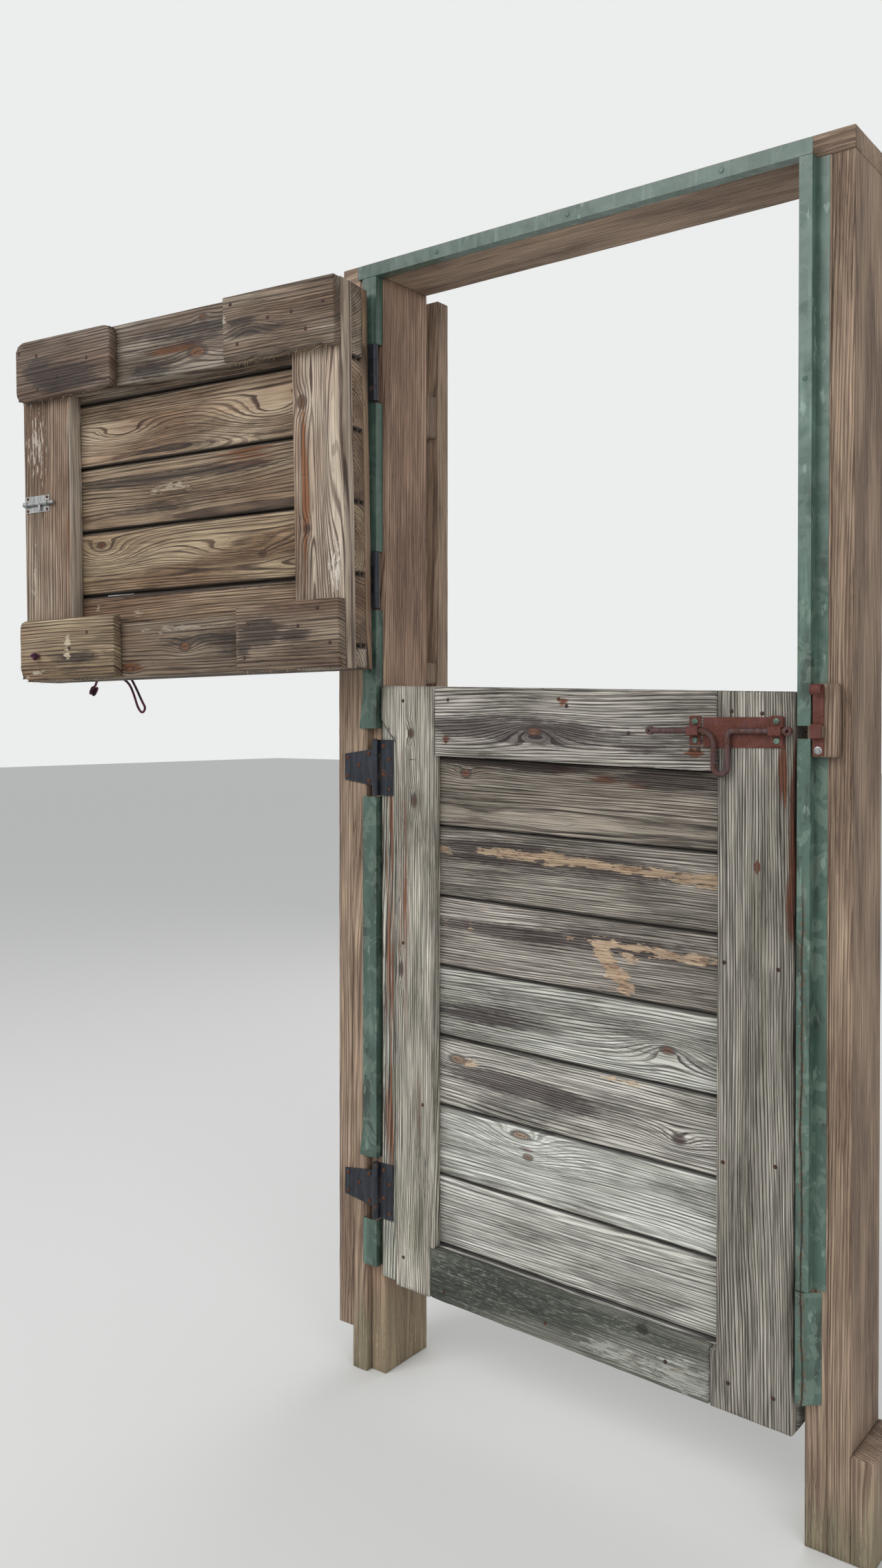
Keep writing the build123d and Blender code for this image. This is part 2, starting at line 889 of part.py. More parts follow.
# The rod is stored drawn back by its whole travel
handle_low = rod_height - handle_drop
handle_round = (handle_right - handle_left) / 2 - bend_margin
rod_route = [
    (rod_left, rod_height),
    (handle_left, rod_height),
    (handle_left, handle_low),
    (handle_right, handle_low),
    (handle_right, rod_height),
    (rod_right, rod_height),
]
rod_bends = [handle_bend_left, handle_round, handle_round, handle_bend_right]
rod_plane = door_plane(-rod_front)
with BuildPart() as slide_rod:
    with BuildLine(rod_plane):
        route = FilletPolyline(
            *[(x - bolt_travel, z) for x, z in rod_route], radius=rod_bends
        )
    with BuildSketch(Plane(origin=route @ 0, z_dir=route % 0)):
        Circle(rod_radius)
    sweep(path=route)
    eyes = [(x - bolt_travel, rod_height) for x in (rod_left, rod_right)]
    with BuildSketch(rod_plane.offset(-eye_thick / 2)):
        with Locations(*eyes):
            Circle(rod_eye)
    extrude(amount=eye_thick)
    with BuildSketch(rod_plane.offset(-rod_radius - 1)):
        with Locations(*eyes):
            Circle(eye_hole)
    extrude(amount=2 * rod_radius + 2, mode=Mode.SUBTRACT)
finish(slide_rod, "slide_rod")

# Barrel bolt on the upper leaf's inner face
with BuildPart() as barrel_plate:
    with BuildSketch(inner_plane(cleat_front)):
        with BuildLine():
            Polyline(
                *rect(
                    -barrel_plate_right, barrel_height - barrel_plate_height / 2,
                    -barrel_plate_left, barrel_height + barrel_plate_height / 2,
                ),
                close=True,
            )
        make_face()
        with Locations(*[(-x, z) for x, z in barrel_spots]):
            Circle(pilot, mode=Mode.SUBTRACT)
    extrude(amount=barrel_sheet)
    loop_round = barrel_rod + barrel_play + barrel_sheet
    loop_foot = cleat_front + barrel_sheet / 2
    for left in (barrel_plate_left, barrel_plate_right - barrel_loop):
        with BuildSketch(end_plane(left)):
            with Locations(((loop_foot + barrel_depth) / 2, barrel_height)):
                Rectangle(barrel_depth - loop_foot, 2 * loop_round)
            with Locations((barrel_depth, barrel_height)):
                Circle(loop_round)
                Circle(barrel_rod + barrel_play, mode=Mode.SUBTRACT)
        extrude(amount=barrel_loop)
finish(barrel_plate, "barrel_plate", True)
with BuildPart() as barrel_bolt:
    with BuildSketch(end_plane(barrel_tail)):
        with Locations((barrel_depth, barrel_height)):
            Circle(barrel_rod)
    extrude(amount=barrel_tip - barrel_tail)
    chamfer(barrel_bolt.edges().filter_by(GeomType.CIRCLE), arris / 2)
    knob_plane = Plane(
        origin=(face_x + barrel_knob, face_y + barrel_depth, sill_z + barrel_height),
        x_dir=(1, 0, 0),
        z_dir=(0, 0, -1),
    )
    with BuildSketch(knob_plane):
        Circle(barrel_knob_radius)
    extrude(amount=barrel_knob_reach)
finish(barrel_bolt, "barrel_bolt", True)
upper_screws = group([
    screws([(upper_butt_screws, -plate_thick)]),
    inner_screws(barrel_spots, cleat_front + barrel_sheet),
])
finish(upper_screws, "upper_screws", True)

# Tie cord, knotted inside and looped outside
cord_front = -cord_radius - cord_rest
cord_back = cleat_front + cleat_thick
cord_out = -12
cord_route = [
    (0, 0, cord_back),
    (0, 0, cord_out),
    (-19, -9, -5),
    (-57, -12, cord_front),
    (-111, -19, cord_front),
    (-153, -39, cord_front),
    (-175, -72, cord_front),
    (-193, -105, cord_front),
    (-202, -120, cord_front),
    (-193, -128, cord_front),
    (-182, -116, cord_front),
    (-170, -90, cord_front),
    (-155, -61, cord_front),
    (-125, -46, cord_front),
    (-87, -40, cord_front),
    (-59, -46, cord_front),
    (-51, -66, cord_front),
]


def cord_bends(points):
    """Bend radius at each corner of a cord's route, from the runs beside it."""
    bends = []
    for before, corner, after in zip(points, points[1:], points[2:]):
        run_in = corner - before
        run_out = after - corner
        half_turn = radians(run_in.get_angle(run_out)) / 2
        bends.append(0.45 * min(run_in.length, run_out.length) / tan(half_turn))
    return bends


cord_points = [
    Vector(face_x + cord_hole[0] + x, face_y + depth, sill_z + cord_hole[1] + z)
    for x, z, depth in cord_route
]
bends = cord_bends(cord_points)
print("cord bends", [round(bend, 1) for bend in bends])
with BuildPart() as tie_cord:
    with BuildLine():
        cord_path = FilletPolyline(*cord_points, radius=bends)
    with BuildSketch(Plane(origin=cord_path @ 0, z_dir=cord_path % 0)):
        Circle(cord_radius)
    sweep(path=cord_path)
finish(tie_cord, "tie_cord", True)


def knot(end, heading, size):
    """Knot at a cord's end, eight-sided and drawn in towards both ends."""
    width, length = size
    with BuildPart() as piece:
        with BuildSketch(Plane(origin=end, z_dir=heading).offset(length / 2)):
            RegularPolygon(radius=width / 2, side_count=8)
        extrude(amount=length / 2, both=True, taper=knot_taper)
    return piece


knots = group([
    knot(cord_path @ 0, (cord_path % 0) * -1, knot_inside),
    knot(cord_path @ 1, cord_path % 1, knot_outside),
])
finish(knots, "cord_knots", True)
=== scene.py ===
import functools
import itertools
import math

import bmesh
import bpy
import numpy as np
from mathutils import Matrix, Vector


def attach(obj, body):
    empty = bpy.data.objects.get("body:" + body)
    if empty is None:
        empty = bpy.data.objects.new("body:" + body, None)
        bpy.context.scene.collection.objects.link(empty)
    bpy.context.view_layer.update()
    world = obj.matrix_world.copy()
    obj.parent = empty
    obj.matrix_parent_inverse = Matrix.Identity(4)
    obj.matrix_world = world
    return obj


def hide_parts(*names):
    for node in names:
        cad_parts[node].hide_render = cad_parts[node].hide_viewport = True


# Weathered two-leaf stable door: the looks of its timber, trim and ironwork.
# Lengths of the model are metres. Places on the door are millimetres on the shut
# leaf: along the wall, up from the lower leaf's foot, back from its outer face.

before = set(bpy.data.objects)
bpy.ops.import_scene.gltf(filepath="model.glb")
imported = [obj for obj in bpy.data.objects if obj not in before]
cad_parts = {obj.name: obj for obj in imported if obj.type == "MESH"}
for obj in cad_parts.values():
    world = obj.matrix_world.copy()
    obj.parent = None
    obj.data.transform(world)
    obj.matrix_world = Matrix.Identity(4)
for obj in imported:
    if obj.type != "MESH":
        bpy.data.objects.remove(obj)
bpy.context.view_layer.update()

MM = 0.001
CORNER = np.array((0.019, -0.086, 0.205))
PIN = Vector((0.0126, -0.0935, 1.845))
PIN_LEAN = math.radians(0.52)
LEAF_OPEN = math.radians(171.3)
SAG = math.tan(math.radians(1.58))
PIN_AXIS = Vector((-math.sin(PIN_LEAN), 0, math.cos(PIN_LEAN)))
SWING = (
    Matrix.Translation(PIN) @ Matrix.Rotation(-LEAF_OPEN, 4, PIN_AXIS) @ Matrix.Translation(-PIN)
)
collection = bpy.context.scene.collection


def place(points, swung=False):
    """Places on the door as points of the model, swung open with the upper leaf."""
    spots = np.asarray(points, float).reshape(-1, 3)[:, [0, 2, 1]] * MM + CORNER
    if swung:
        turn = np.array(SWING)
        spots = spots @ turn[:3, :3].T + turn[:3, 3]
    return spots


def new_object(name, data):
    made = bpy.data.objects.new(name, data)
    collection.objects.link(made)
    return made


def declare(piece, body, nodes=()):
    """Body that a finished piece rides on, and the nodes it stands for."""
    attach(piece, body)
    if nodes:
        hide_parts(*nodes)


# Camera
camera = new_object("camera", bpy.data.cameras.new("camera"))
camera.location = (1.66635, -2.05132, 1.35615)
camera.rotation_euler = (math.radians(90 - 0.73), 0, math.radians(37.19))
camera.data.lens = 28.69
camera.data.shift_y = -0.0306
bpy.context.scene.camera = camera


# Finishes
def tint(code):
    """Colour written as on a paint card, made linear."""
    parts = [int(code[i:i + 2], 16) / 255 for i in (0, 2, 4)]
    return tuple(
        c / 12.92 if c <= 0.04045 else ((c + 0.055) / 1.055) ** 2.4 for c in parts
    ) + (1.0,)


def wire(tree, kind, values=(), output=0, **settings):
    """Output of a new node, with its settings made and its sockets linked or filled."""
    node = tree.nodes.new(kind)
    for key, value in settings.items():
        setattr(node, key, value)
    for key, value in dict(values).items():
        for one in value if isinstance(value, list) else [value]:
            if isinstance(one, bpy.types.NodeSocket):
                tree.links.new(one, node.inputs[key])
            else:
                node.inputs[key].default_value = tint(one) if isinstance(one, str) else one
    return node.outputs[output]


class Finish:
    """A finish whose nodes are wired up one after another."""

    def __init__(self, name, roughness=0.8):
        self.material = bpy.data.materials.new(name)
        self.material.use_nodes = True
        self.tree = self.material.node_tree
        self.shader = self.tree.nodes["Principled BSDF"]
        self.shader.inputs["Roughness"].default_value = roughness

    def add(self, kind, values=(), output=0, **settings):
        return wire(self.tree, f"ShaderNode{kind}", values, output, **settings)

    def attribute(self, name, output="Vector"):
        return self.add("Attribute", output=output, attribute_name=name)

    def place(self):
        return self.add("TexCoord", output="Object")

    def calc(self, operation, a, b=0.0, c=0.0):
        return self.add("Math", {0: a, 1: b, 2: c}, operation=operation)

    def plus(self, *terms):
        return functools.reduce(functools.partial(self.calc, "ADD"), terms)

    def times(self, *factors):
        return functools.reduce(functools.partial(self.calc, "MULTIPLY"), factors)

    def less(self, a, b):
        return self.calc("SUBTRACT", a, b)

    def lean(self, value, amount):
        """Noise centred on nothing and scaled."""
        return self.times(self.less(value, 0.5), amount)

    def far(self, a, b):
        """Distance that two distances at right angles make."""
        return self.calc("SQRT", self.plus(self.calc("POWER", a, 2), self.calc("POWER", b, 2)))

    def parts(self, vector):
        return self.add("SeparateXYZ", {0: vector}, slice(None))

    def join(self, x, y, z):
        return self.add("CombineXYZ", {0: x, 1: y, 2: z})

    def stretch(self, vector, scale):
        return self.add("VectorMath", {0: vector, 1: scale}, operation="MULTIPLY")

    def noise(self, vector, scale=1.0, detail=2.0, rough=0.55, distortion=0.0):
        return self.add("TexNoise", {
            "Vector": vector, "Scale": scale, "Detail": detail, "Roughness": rough,
            "Distortion": distortion,
        })

    def span(self, value, low, high, to_low=0.0, to_high=1.0):
        return self.add(
            "MapRange", {0: value, 1: low, 2: high, 3: to_low, 4: to_high},
            interpolation_type="SMOOTHSTEP",
        )

    def mix(self, share, a, b, blend="MIX"):
        return self.add("Mix", {0: share, 6: a, 7: b}, 2, data_type="RGBA", blend_type=blend)

    def dim(self, colour, value):
        """Colour made lighter or darker by a number round one."""
        if isinstance(colour, str):
            colour = tint(colour)[:3]
        return self.add("VectorMath", {0: colour, "Scale": value}, operation="SCALE")

    def coat(self, colour, height=None, roughness=None, metallic=None):
        """The finished material. The height of its grain is in metres."""
        if height is not None:
            height = self.add("Bump", {"Height": height, "Strength": 1.0, "Distance": 1.0})
        for name, value in (
            ("Base Color", colour), ("Roughness", roughness), ("Metallic", metallic),
            ("Normal", height),
        ):
            if isinstance(value, bpy.types.NodeSocket):
                self.tree.links.new(value, self.shader.inputs[name])
            elif value is not None:
                self.shader.inputs[name].default_value = value
        return self.material


def wood(
    name, colours, ring=0.0055, contrast=0.8, raised=1.0, fibre_depth=0.4, grooves=0.5,
    roughness=0.82, ruddy=0.0,
):
    """Weathered softwood. Rings run round the pith that each board is given."""
    early, late, shade, stain, pale, growth, warm = colours.split()
    f = Finish(name)
    grain = f.attribute("grain")
    along, across, depth = f.parts(grain)
    lift = f.attribute("lift", "Fac")
    stain_mark, pale_mark, growth_mark = f.parts(f.attribute("marks", "Color"))
    warm_mark = f.attribute("warmth", "Fac")
    rim_mark = f.attribute("rim", "Fac")
    knot_x, knot_z, knot_kind = f.parts(f.attribute("knot"))
    strength = f.attribute("tone", "Alpha")

    def drawn(long, wide, detail=2, rough=0.55):
        """Noise drawn out along the grain."""
        return f.noise(f.stretch(grain, (long, wide, wide)), detail=detail, rough=rough)

    slow = drawn(1.5, 7, 1)
    wavy = drawn(4, 28)
    cloud = drawn(2.5, 11)
    blotch = drawn(3, 14, 3, 0.6)
    fibre = drawn(9, 700, 2, 0.6)
    streak = drawn(3, 260, 3, 0.7)
    jag = drawn(38, 190, 4, 0.65)
    flake = drawn(70, 230, 3, 0.7)

    # Growth rings, pushed aside by knots
    reach = f.plus(
        f.far(across, depth), f.lean(slow, 0.024), f.lean(wavy, 0.006), lift,
        f.times(along, 0.012),
    )
    spread = f.noise(f.join(f.times(reach, 40), 0.0, 0.0), detail=1)
    turns = f.plus(f.calc("DIVIDE", reach, ring), f.times(spread, 2.5))
    saw = f.calc("FRACT", turns)
    latewood = f.times(f.span(saw, 0.5, 0.8), f.span(saw, 1.0, 0.93))
    year = f.noise(f.join(f.calc("FLOOR", turns), f.times(along, 5), 0.0))
    line = f.times(latewood, f.span(year, 0.3, 0.62, 0.45, 1.0))
    flow = f.noise(f.join(f.times(along, 5), f.times(reach, 620), 0.0), detail=2)

    # Soft wood washed out between the rings, and drying cracks along the fibre
    groove = f.calc("MAXIMUM", f.span(flow, 0.47, 0.36), f.times(f.span(streak, 0.44, 0.36), 0.8))
    crack = f.calc("ABSOLUTE", f.less(streak, 0.5))
    crack = f.times(f.span(crack, 0.012, 0.0), f.span(blotch, 0.5, 0.62))

    colour = f.mix(f.span(blotch, 0.3, 0.7), early, shade)
    colour = f.mix(f.times(f.span(cloud, 0.42, 0.66), ruddy), colour, warm)
    colour = f.mix(f.times(line, contrast, strength), colour, late)
    # Washed-out grooves are darkened toward the late wood: dirt and painted shade in them
    colour = f.mix(f.times(groove, grooves, strength), colour, late)
    colour = f.dim(colour, f.span(fibre, 0.25, 0.75, 1 - fibre_depth, 1 + fibre_depth * 0.75))

    def patch(mark, low=0.42, high=0.62, torn=0.0):
        """A marked place with an edge that runs off along the fibres."""
        ragged = f.plus(
            f.lean(streak, 1.7 - torn), f.lean(wavy, 0.9 - torn * 0.5), f.lean(jag, torn * 2.2)
        )
        return f.span(f.plus(mark, f.times(ragged, f.span(mark, 0.0, 0.15))), low, high)

    # Marks: warm heartwood, growth that flakes off, stains, and wood torn down to pale
    colour = f.mix(patch(warm_mark), colour, f.mix(line, warm, late))
    growth_share = f.times(patch(growth_mark, 0.3, 0.9), f.span(flake, 0.36, 0.5, 0.35, 0.95))
    colour = f.mix(growth_share, colour, f.dim(growth, f.span(streak, 0.3, 0.7, 0.6, 1.3)))
    stain_share = f.times(patch(stain_mark, 0.33, 0.6, 0.3), f.span(line, 0.0, 0.6, 0.74, 1.0))
    colour = f.mix(stain_share, colour, stain)
    pale_share = patch(pale_mark, 0.46, 0.53, 0.9)
    torn_colour = f.mix(f.span(jag, 0.36, 0.52), f.mix(0.6, pale, warm), pale)
    colour = f.mix(pale_share, colour, f.dim(torn_colour, f.span(fibre, 0.2, 0.8, 0.68, 1.12)))
    colour = f.mix(1.0, colour, f.attribute("tone", "Color"), "MULTIPLY")

    # Long edges: painted shade in a seam where the rim is above nothing, wear where it is below
    seam_shade_share = f.plus(rim_mark, f.times(f.lean(streak, 0.7), f.span(rim_mark, 0.0, 0.2)))
    colour = f.mix(f.times(f.span(seam_shade_share, 0.45, 0.85), 0.85), colour, "231d19")
    worn_share = f.times(f.plus(f.lean(streak, 0.9), 1.0), f.times(rim_mark, -1))
    colour = f.mix(f.times(f.span(worn_share, 0.4, 0.9), 0.6), colour, pale)

    # Knots: a ringed heart, a dark rim and cracks across
    knot_reach = f.plus(f.far(knot_x, knot_z), f.lean(wavy, 0.6))
    heart = f.times(f.span(knot_reach, 1.0, 0.7), 0.85)
    rim = f.times(f.span(knot_reach, 0.6, 0.95), f.span(knot_reach, 1.5, 1.0))
    knot_rings = f.calc("SINE", f.times(knot_reach, 19.0))
    knot_colour = f.mix(f.span(knot_kind, 0.0, 1.0), late, warm)
    knot_colour = f.mix(f.span(knot_kind, 1.0, 2.0), knot_colour, pale)
    knot_colour = f.mix(f.span(knot_rings, -0.6, 1.0, 0.0, 0.7), knot_colour, stain)
    knot_crack = f.calc("ABSOLUTE", f.plus(knot_z, f.times(knot_x, 0.35)))
    knot_crack = f.times(f.span(knot_crack, 0.12, 0.0), f.span(knot_reach, 0.75, 0.3))
    colour = f.mix(heart, colour, knot_colour)
    colour = f.mix(f.times(rim, 0.65), colour, stain)
    dark_line = f.calc("MAXIMUM", crack, knot_crack)
    colour = f.mix(f.times(dark_line, 0.85), colour, "1c1511")

    height = f.plus(f.times(line, 0.0005 * raised), f.times(fibre, 0.0005 * raised))
    for dip, deep in ((groove, 0.0007 * raised), (dark_line, 0.0014), (pale_share, 0.0008)):
        height = f.less(height, f.times(dip, deep))
    return f.coat(colour, height, f.span(fibre, 0.2, 0.8, roughness + 0.1, roughness - 0.08))


# Colours: early and late wood, shade, stain, torn wood, growth and warm heartwood
upper_wood = wood(
    "upper timber", "c3b5a1 3d291e 8c7a66 302420 d6cdbf 5e4a3a 84532f", ring=0.0062,
    contrast=0.95, grooves=0.4, fibre_depth=0.38, roughness=0.7, ruddy=0.35,
)
lower_wood = wood(
    "lower timber", "e2dfd7 342e2a b3b0a6 3f3334 e6cfb2 8b8e7c 875239", ring=0.0045,
    contrast=0.95, raised=1.8, fibre_depth=0.42, grooves=0.62,
)
sill_wood = wood(
    "mossy timber", "9b998c 3c3a33 77786a 24221e a9a99d 3b4036 6b5a40",
    contrast=0.5, raised=1.8, fibre_depth=0.4, grooves=0.6, roughness=0.88,
)
frame_wood = wood(
    "frame timber", "b59d86 4f3a2f 8f7865 33261f a39684 8a8269 81553c",
    contrast=0.65, grooves=0.5, fibre_depth=0.3,
)


def painted_trim():
    """Green enamel on steel, rubbed pale, smeared, scuffed and creased low down."""
    f = Finish("green trim")
    spot = f.place()
    x, _, z = f.parts(spot)
    cloud = f.noise(spot, 9, detail=4, rough=0.6)
    speck = f.noise(spot, 160, detail=3, rough=0.7)
    runs = f.noise(f.stretch(spot, (90, 90, 5)), detail=3)
    dents = f.noise(spot, 14, detail=2)
    colour = f.mix(f.span(cloud, 0.3, 0.7), "455d52", "587065")
    colour = f.mix(f.times(f.span(runs, 0.55, 0.75), 0.5), colour, "7d998c")
    colour = f.mix(f.times(f.span(speck, 0.62, 0.72), 0.6), colour, "26382f")
    smear = f.span(f.noise(f.stretch(spot, (30, 30, 7)), detail=4, rough=0.65), 0.5, 0.66)
    colour = f.mix(f.times(smear, f.span(z, 2.0, 1.3, 0.15, 0.7)), colour, "2b312a")
    scuff = f.span(f.noise(f.stretch(spot, (60, 60, 20)), detail=3), 0.64, 0.7)
    colour = f.mix(f.times(scuff, 0.5), colour, "93a89c")
    bare = f.span(f.noise(spot, 24, detail=4, rough=0.6, distortion=0.7), 0.53, 0.56)
    colour = f.mix(f.times(bare, f.span(z, 2.0, 1.2, 0.12, 0.32)), colour, "86978a")

    # A crease runs up the latch side's lower half, with rust beside it
    crease_at, crease_top, crease_end = 0.913, 1.0, 1.15
    bend = f.noise(f.join(0.0, 0.0, f.times(z, 5)), detail=3)
    crease = f.calc("ABSOLUTE", f.plus(f.less(x, crease_at), f.lean(bend, 0.02)))
    low_half = f.span(z, crease_end, crease_top)
    rust = f.times(f.span(crease, 0.007, 0.001), f.span(speck, 0.42, 0.6), low_half)
    colour = f.mix(rust, colour, f.mix(f.span(speck, 0.4, 0.7), "4d3b2c", "7c6650"))
    # Painted shade: a near-black line along the fold of the crease
    fold = f.times(f.span(crease, 0.0017, 0.0008), low_half)
    colour = f.mix(f.times(fold, 0.85), colour, "191c18")
    # Painted shade: the trims are darker toward the hinge side and along the head
    shaded = f.times(f.span(x, 0.1, 0.8, 0.84, 1.0), f.span(z, 2.2, 2.26, 1.0, 0.84))
    height = f.less(f.times(dents, 0.006), f.times(fold, 0.0015))
    return f.coat(f.dim(colour, shaded), height, f.span(rust, 0.0, 1.0, 0.38, 0.85))


def iron(name, colours, amount, metallic, roughness):
    """Old ironwork: two colours of a dark or bare face, and two of its patches of rust."""
    dark, bright, dark_rust, bright_rust = colours.split()
    f = Finish(name)
    spot = f.place()
    cloud = f.noise(spot, 38, detail=4, rough=0.65)
    pits = f.noise(spot, 420, detail=3, rough=0.7)
    streaks = f.noise(f.stretch(spot, (220, 220, 18)), detail=2)
    rust = f.span(f.plus(cloud, f.lean(pits, 0.35)), 0.74 - amount, 0.84 - amount)
    colour = f.mix(f.span(streaks, 0.35, 0.7), dark, bright)
    colour = f.mix(rust, colour, f.mix(f.span(pits, 0.35, 0.7), dark_rust, bright_rust))
    height = f.plus(f.times(pits, 0.0005), f.times(rust, 0.00025), f.times(cloud, 0.0008))
    return f.coat(
        colour, height, f.span(rust, 0.0, 1.0, roughness, 0.85),
        f.span(rust, 0.0, 1.0, metallic, 0.0),
    )


green_trim = painted_trim()
black_iron = iron("black iron", "2a2d33 3b3f47 3d2a22 5e4334", 0.12, 0.6, 0.42)
rusty_iron = iron("rusty iron", "552a24 6a362c 40211b 75412f", 0.28, 0.1, 0.62)
rod_iron = iron("rod iron", "46302f 5b4342 3c2421 6b4235", 0.25, 0.25, 0.55)
painted_screw = iron("painted screws", "5a7568 83998c 4a3a30 6b5545", 0.2, 0.3, 0.5)
zinc = iron("dull zinc", "a9aaa8 8b8c8c 6b5f55 8a7462", 0.1, 0.85, 0.42)
nail_iron = iron("rusty nails", "2a1e1a 4a3024 231713 6b4029", 0.25, 0.1, 0.7)
screw_iron = iron("rusty screws", "4a2f24 6a4330 3a241c 87502f", 0.3, 0.2, 0.6)


def fray_finish():
    """Pale torn wood fibre."""
    f = Finish("frayed wood", 0.85)
    return f.coat(f.mix(f.span(f.noise(f.place(), 300, detail=2), 0.35, 0.65), "8f7a60", "c9b697"))


def cord_finish():
    """Braided cord, plum gone dark with dirt."""
    f = Finish("braided cord", 0.75)
    spot = f.place()
    x, _, z = f.parts(spot)
    braid = [f.calc("SINE", f.times(lay, 2400)) for lay in (f.plus(x, z), f.less(x, z))]
    weave = f.times(*braid)
    dirt = f.noise(spot, 60, detail=3)
    # Painted light and shade: the strands are lighter on the braid's ridges and darker in its
    # hollows
    colour = f.mix(f.span(weave, -0.6, 0.6), "451f35", "8a3f63")
    colour = f.mix(f.span(dirt, 0.42, 0.62), colour, "2a2022")
    return f.coat(colour, f.times(weave, 0.0004))


frayed_wood = fray_finish()
cord_plum = cord_finish()

# Tie cord through the upper leaf: knotted inside, looped and knotted outside
CORD_RADIUS = 2.75 * MM
CORD_DEPTH = -3.05
cord_places = [(815, 1310, 123), (815, 1310, 21), (815, 1310, -12), (796, 1301, -5)] + [
    (x, z, CORD_DEPTH) for x, z in (
        (758, 1298), (704, 1291), (662, 1271), (640, 1238), (622, 1205), (611, 1189),
        (622, 1177), (635, 1191), (645, 1220), (660, 1249), (690, 1264), (728, 1270),
        (756, 1264), (764, 1244),
    )
]
cord_points = place(cord_places, swung=True)
cord_curve = bpy.data.curves.new("tie_cord_line", "CURVE")
cord_curve.dimensions = "3D"
cord_spline = cord_curve.splines.new("NURBS")
cord_spline.points.add(len(cord_points) - 1)
for point, spot in zip(cord_spline.points, cord_points):
    point.co = (*spot, 1.0)
cord_spline.order_u = 3
cord_spline.use_endpoint_u = True
cord_spline.resolution_u = 10
cord_curve.bevel_depth = CORD_RADIUS
cord_curve.bevel_resolution = 3
cord_curve.use_fill_caps = True
cord_curve.materials.append(cord_plum)
tie_cord = new_object("braided_tie_cord", cord_curve)
declare(tie_cord, "upper_leaf", ["tie_cord"])


def tube(points, radius, sides=8, closed=False):
    """Corners and faces of a round bar bent along points."""
    points = np.asarray(points, float)
    ahead = np.roll(points, -1, 0) - np.roll(points, 1, 0)
    if not closed:
        ahead[0], ahead[-1] = points[1] - points[0], points[-1] - points[-2]
    ahead /= np.linalg.norm(ahead, axis=1)[:, None]
    side = np.cross(ahead[0], (0.3, 0.5, 0.81))
    turns = np.arange(sides) * 2 * math.pi / sides
    rings = []
    for centre, heading in zip(points, ahead):
        side = side - heading * (side @ heading)
        side /= np.linalg.norm(side)
        up = np.cross(heading, side)
        circle = np.outer(np.cos(turns), side) + np.outer(np.sin(turns), up)
        rings.append(centre + radius * circle)
    count = len(points)
    faces = [
        (i * sides + j, i * sides + (j + 1) % sides,
         (i + 1) % count * sides + (j + 1) % sides, (i + 1) % count * sides + j)
        for i in range(count if closed else count - 1) for j in range(sides)
    ]
    if not closed:
        faces.append(tuple(range(sides))[::-1])
        faces.append(tuple((count - 1) * sides + j for j in range(sides)))
    return np.concatenate(rings), faces


def closed_mesh(name, corners, faces):
    """Mesh in the model's own frame, with its faces turned outwards."""
    mesh = bpy.data.meshes.new(name)
    mesh.from_pydata([tuple(c) for c in corners], [], faces)
    made = bmesh.new()
    made.from_mesh(mesh)
    bmesh.ops.recalc_face_normals(made, faces=made.faces)
    made.to_mesh(mesh)
    made.free()
    return mesh


def tied_knot(end, before, gap, width, length):
    """Overhand knot drawn tight past a cord's end, its turns round the cord's own line."""
    heading = (end - before) / np.linalg.norm(end - before)
    turns = np.arange(72) * 2 * math.pi / 72
    wide, long = (width / 2 - CORD_RADIUS) / 3, length / 2 - CORD_RADIUS
    loop = np.column_stack([
        (np.sin(turns) + 2 * np.sin(2 * turns)) * wide,
        (np.cos(turns) - 2 * np.cos(2 * turns)) * wide,
        -np.sin(3 * turns) * long,
    ])
    turn = Vector(heading).to_track_quat("Z", "Y").to_matrix()
    return tube(loop @ np.array(turn).T + end + heading * gap, CORD_RADIUS, closed=True)


knot_a, faces_a = tied_knot(cord_points[0], cord_points[1], 9 * MM, 0.020, 0.018)
knot_b, faces_b = tied_knot(cord_points[-1], cord_points[-2], 11.5 * MM, 0.020, 0.023)
faces_b = [tuple(len(knot_a) + i for i in face) for face in faces_b]
knot_mesh = closed_mesh("tied_cord_knots", np.concatenate([knot_a, knot_b]), faces_a + faces_b)
knot_mesh.shade_smooth()
knot_mesh.materials.append(cord_plum)
cord_ties = new_object("tied_cord_knots", knot_mesh)
declare(cord_ties, "upper_leaf", ["cord_knots"])


# Timber
AXES = {"t": 0, "z": 1, "n": 2}
UPRIGHT, LEVEL, ON_EDGE = "ztn", "tzn", "znt"
FIBRE = (60, 14, 14)
SHARP = 0.6
FULLY_ROUND = 0.29
LENGTH_OF_LOG = 9000
SEAM_REACH = 10
FAR_OFF = 1e9
board_count = itertools.count(1)


def waves(points, seed):
    """Smooth random numbers from -1 to 1, one for each point."""
    low = np.floor(points).astype(np.int64)
    part = points - low
    part = part * part * (3 - 2 * part)
    total = np.zeros(len(points))
    for corner in itertools.product((0, 1), repeat=3):
        c = low + corner
        h = (c[:, 0] * 73856093) ^ (c[:, 1] * 19349663) ^ (c[:, 2] * 83492791) ^ (seed * 2654435)
        h = (h ^ (h >> 13)) * 1274126177 & 0x7FFFFFFF
        h = (h ^ (h >> 15)) & 0xFFFF
        share = np.prod(np.where(corner, part, 1 - part), axis=1)
        total += share * (h / 32767.5 - 1)
    return total


def cuts(corners, step, keep_off):
    """Evenly spaced cutting places that stay clear of an outline's corners."""
    count = max(1, round((corners[-1] - corners[0]) / step))
    places = np.linspace(corners[0], corners[-1], count + 1)[1:-1]
    return [p for p in places if min(abs(p - c) for c in corners) > keep_off]


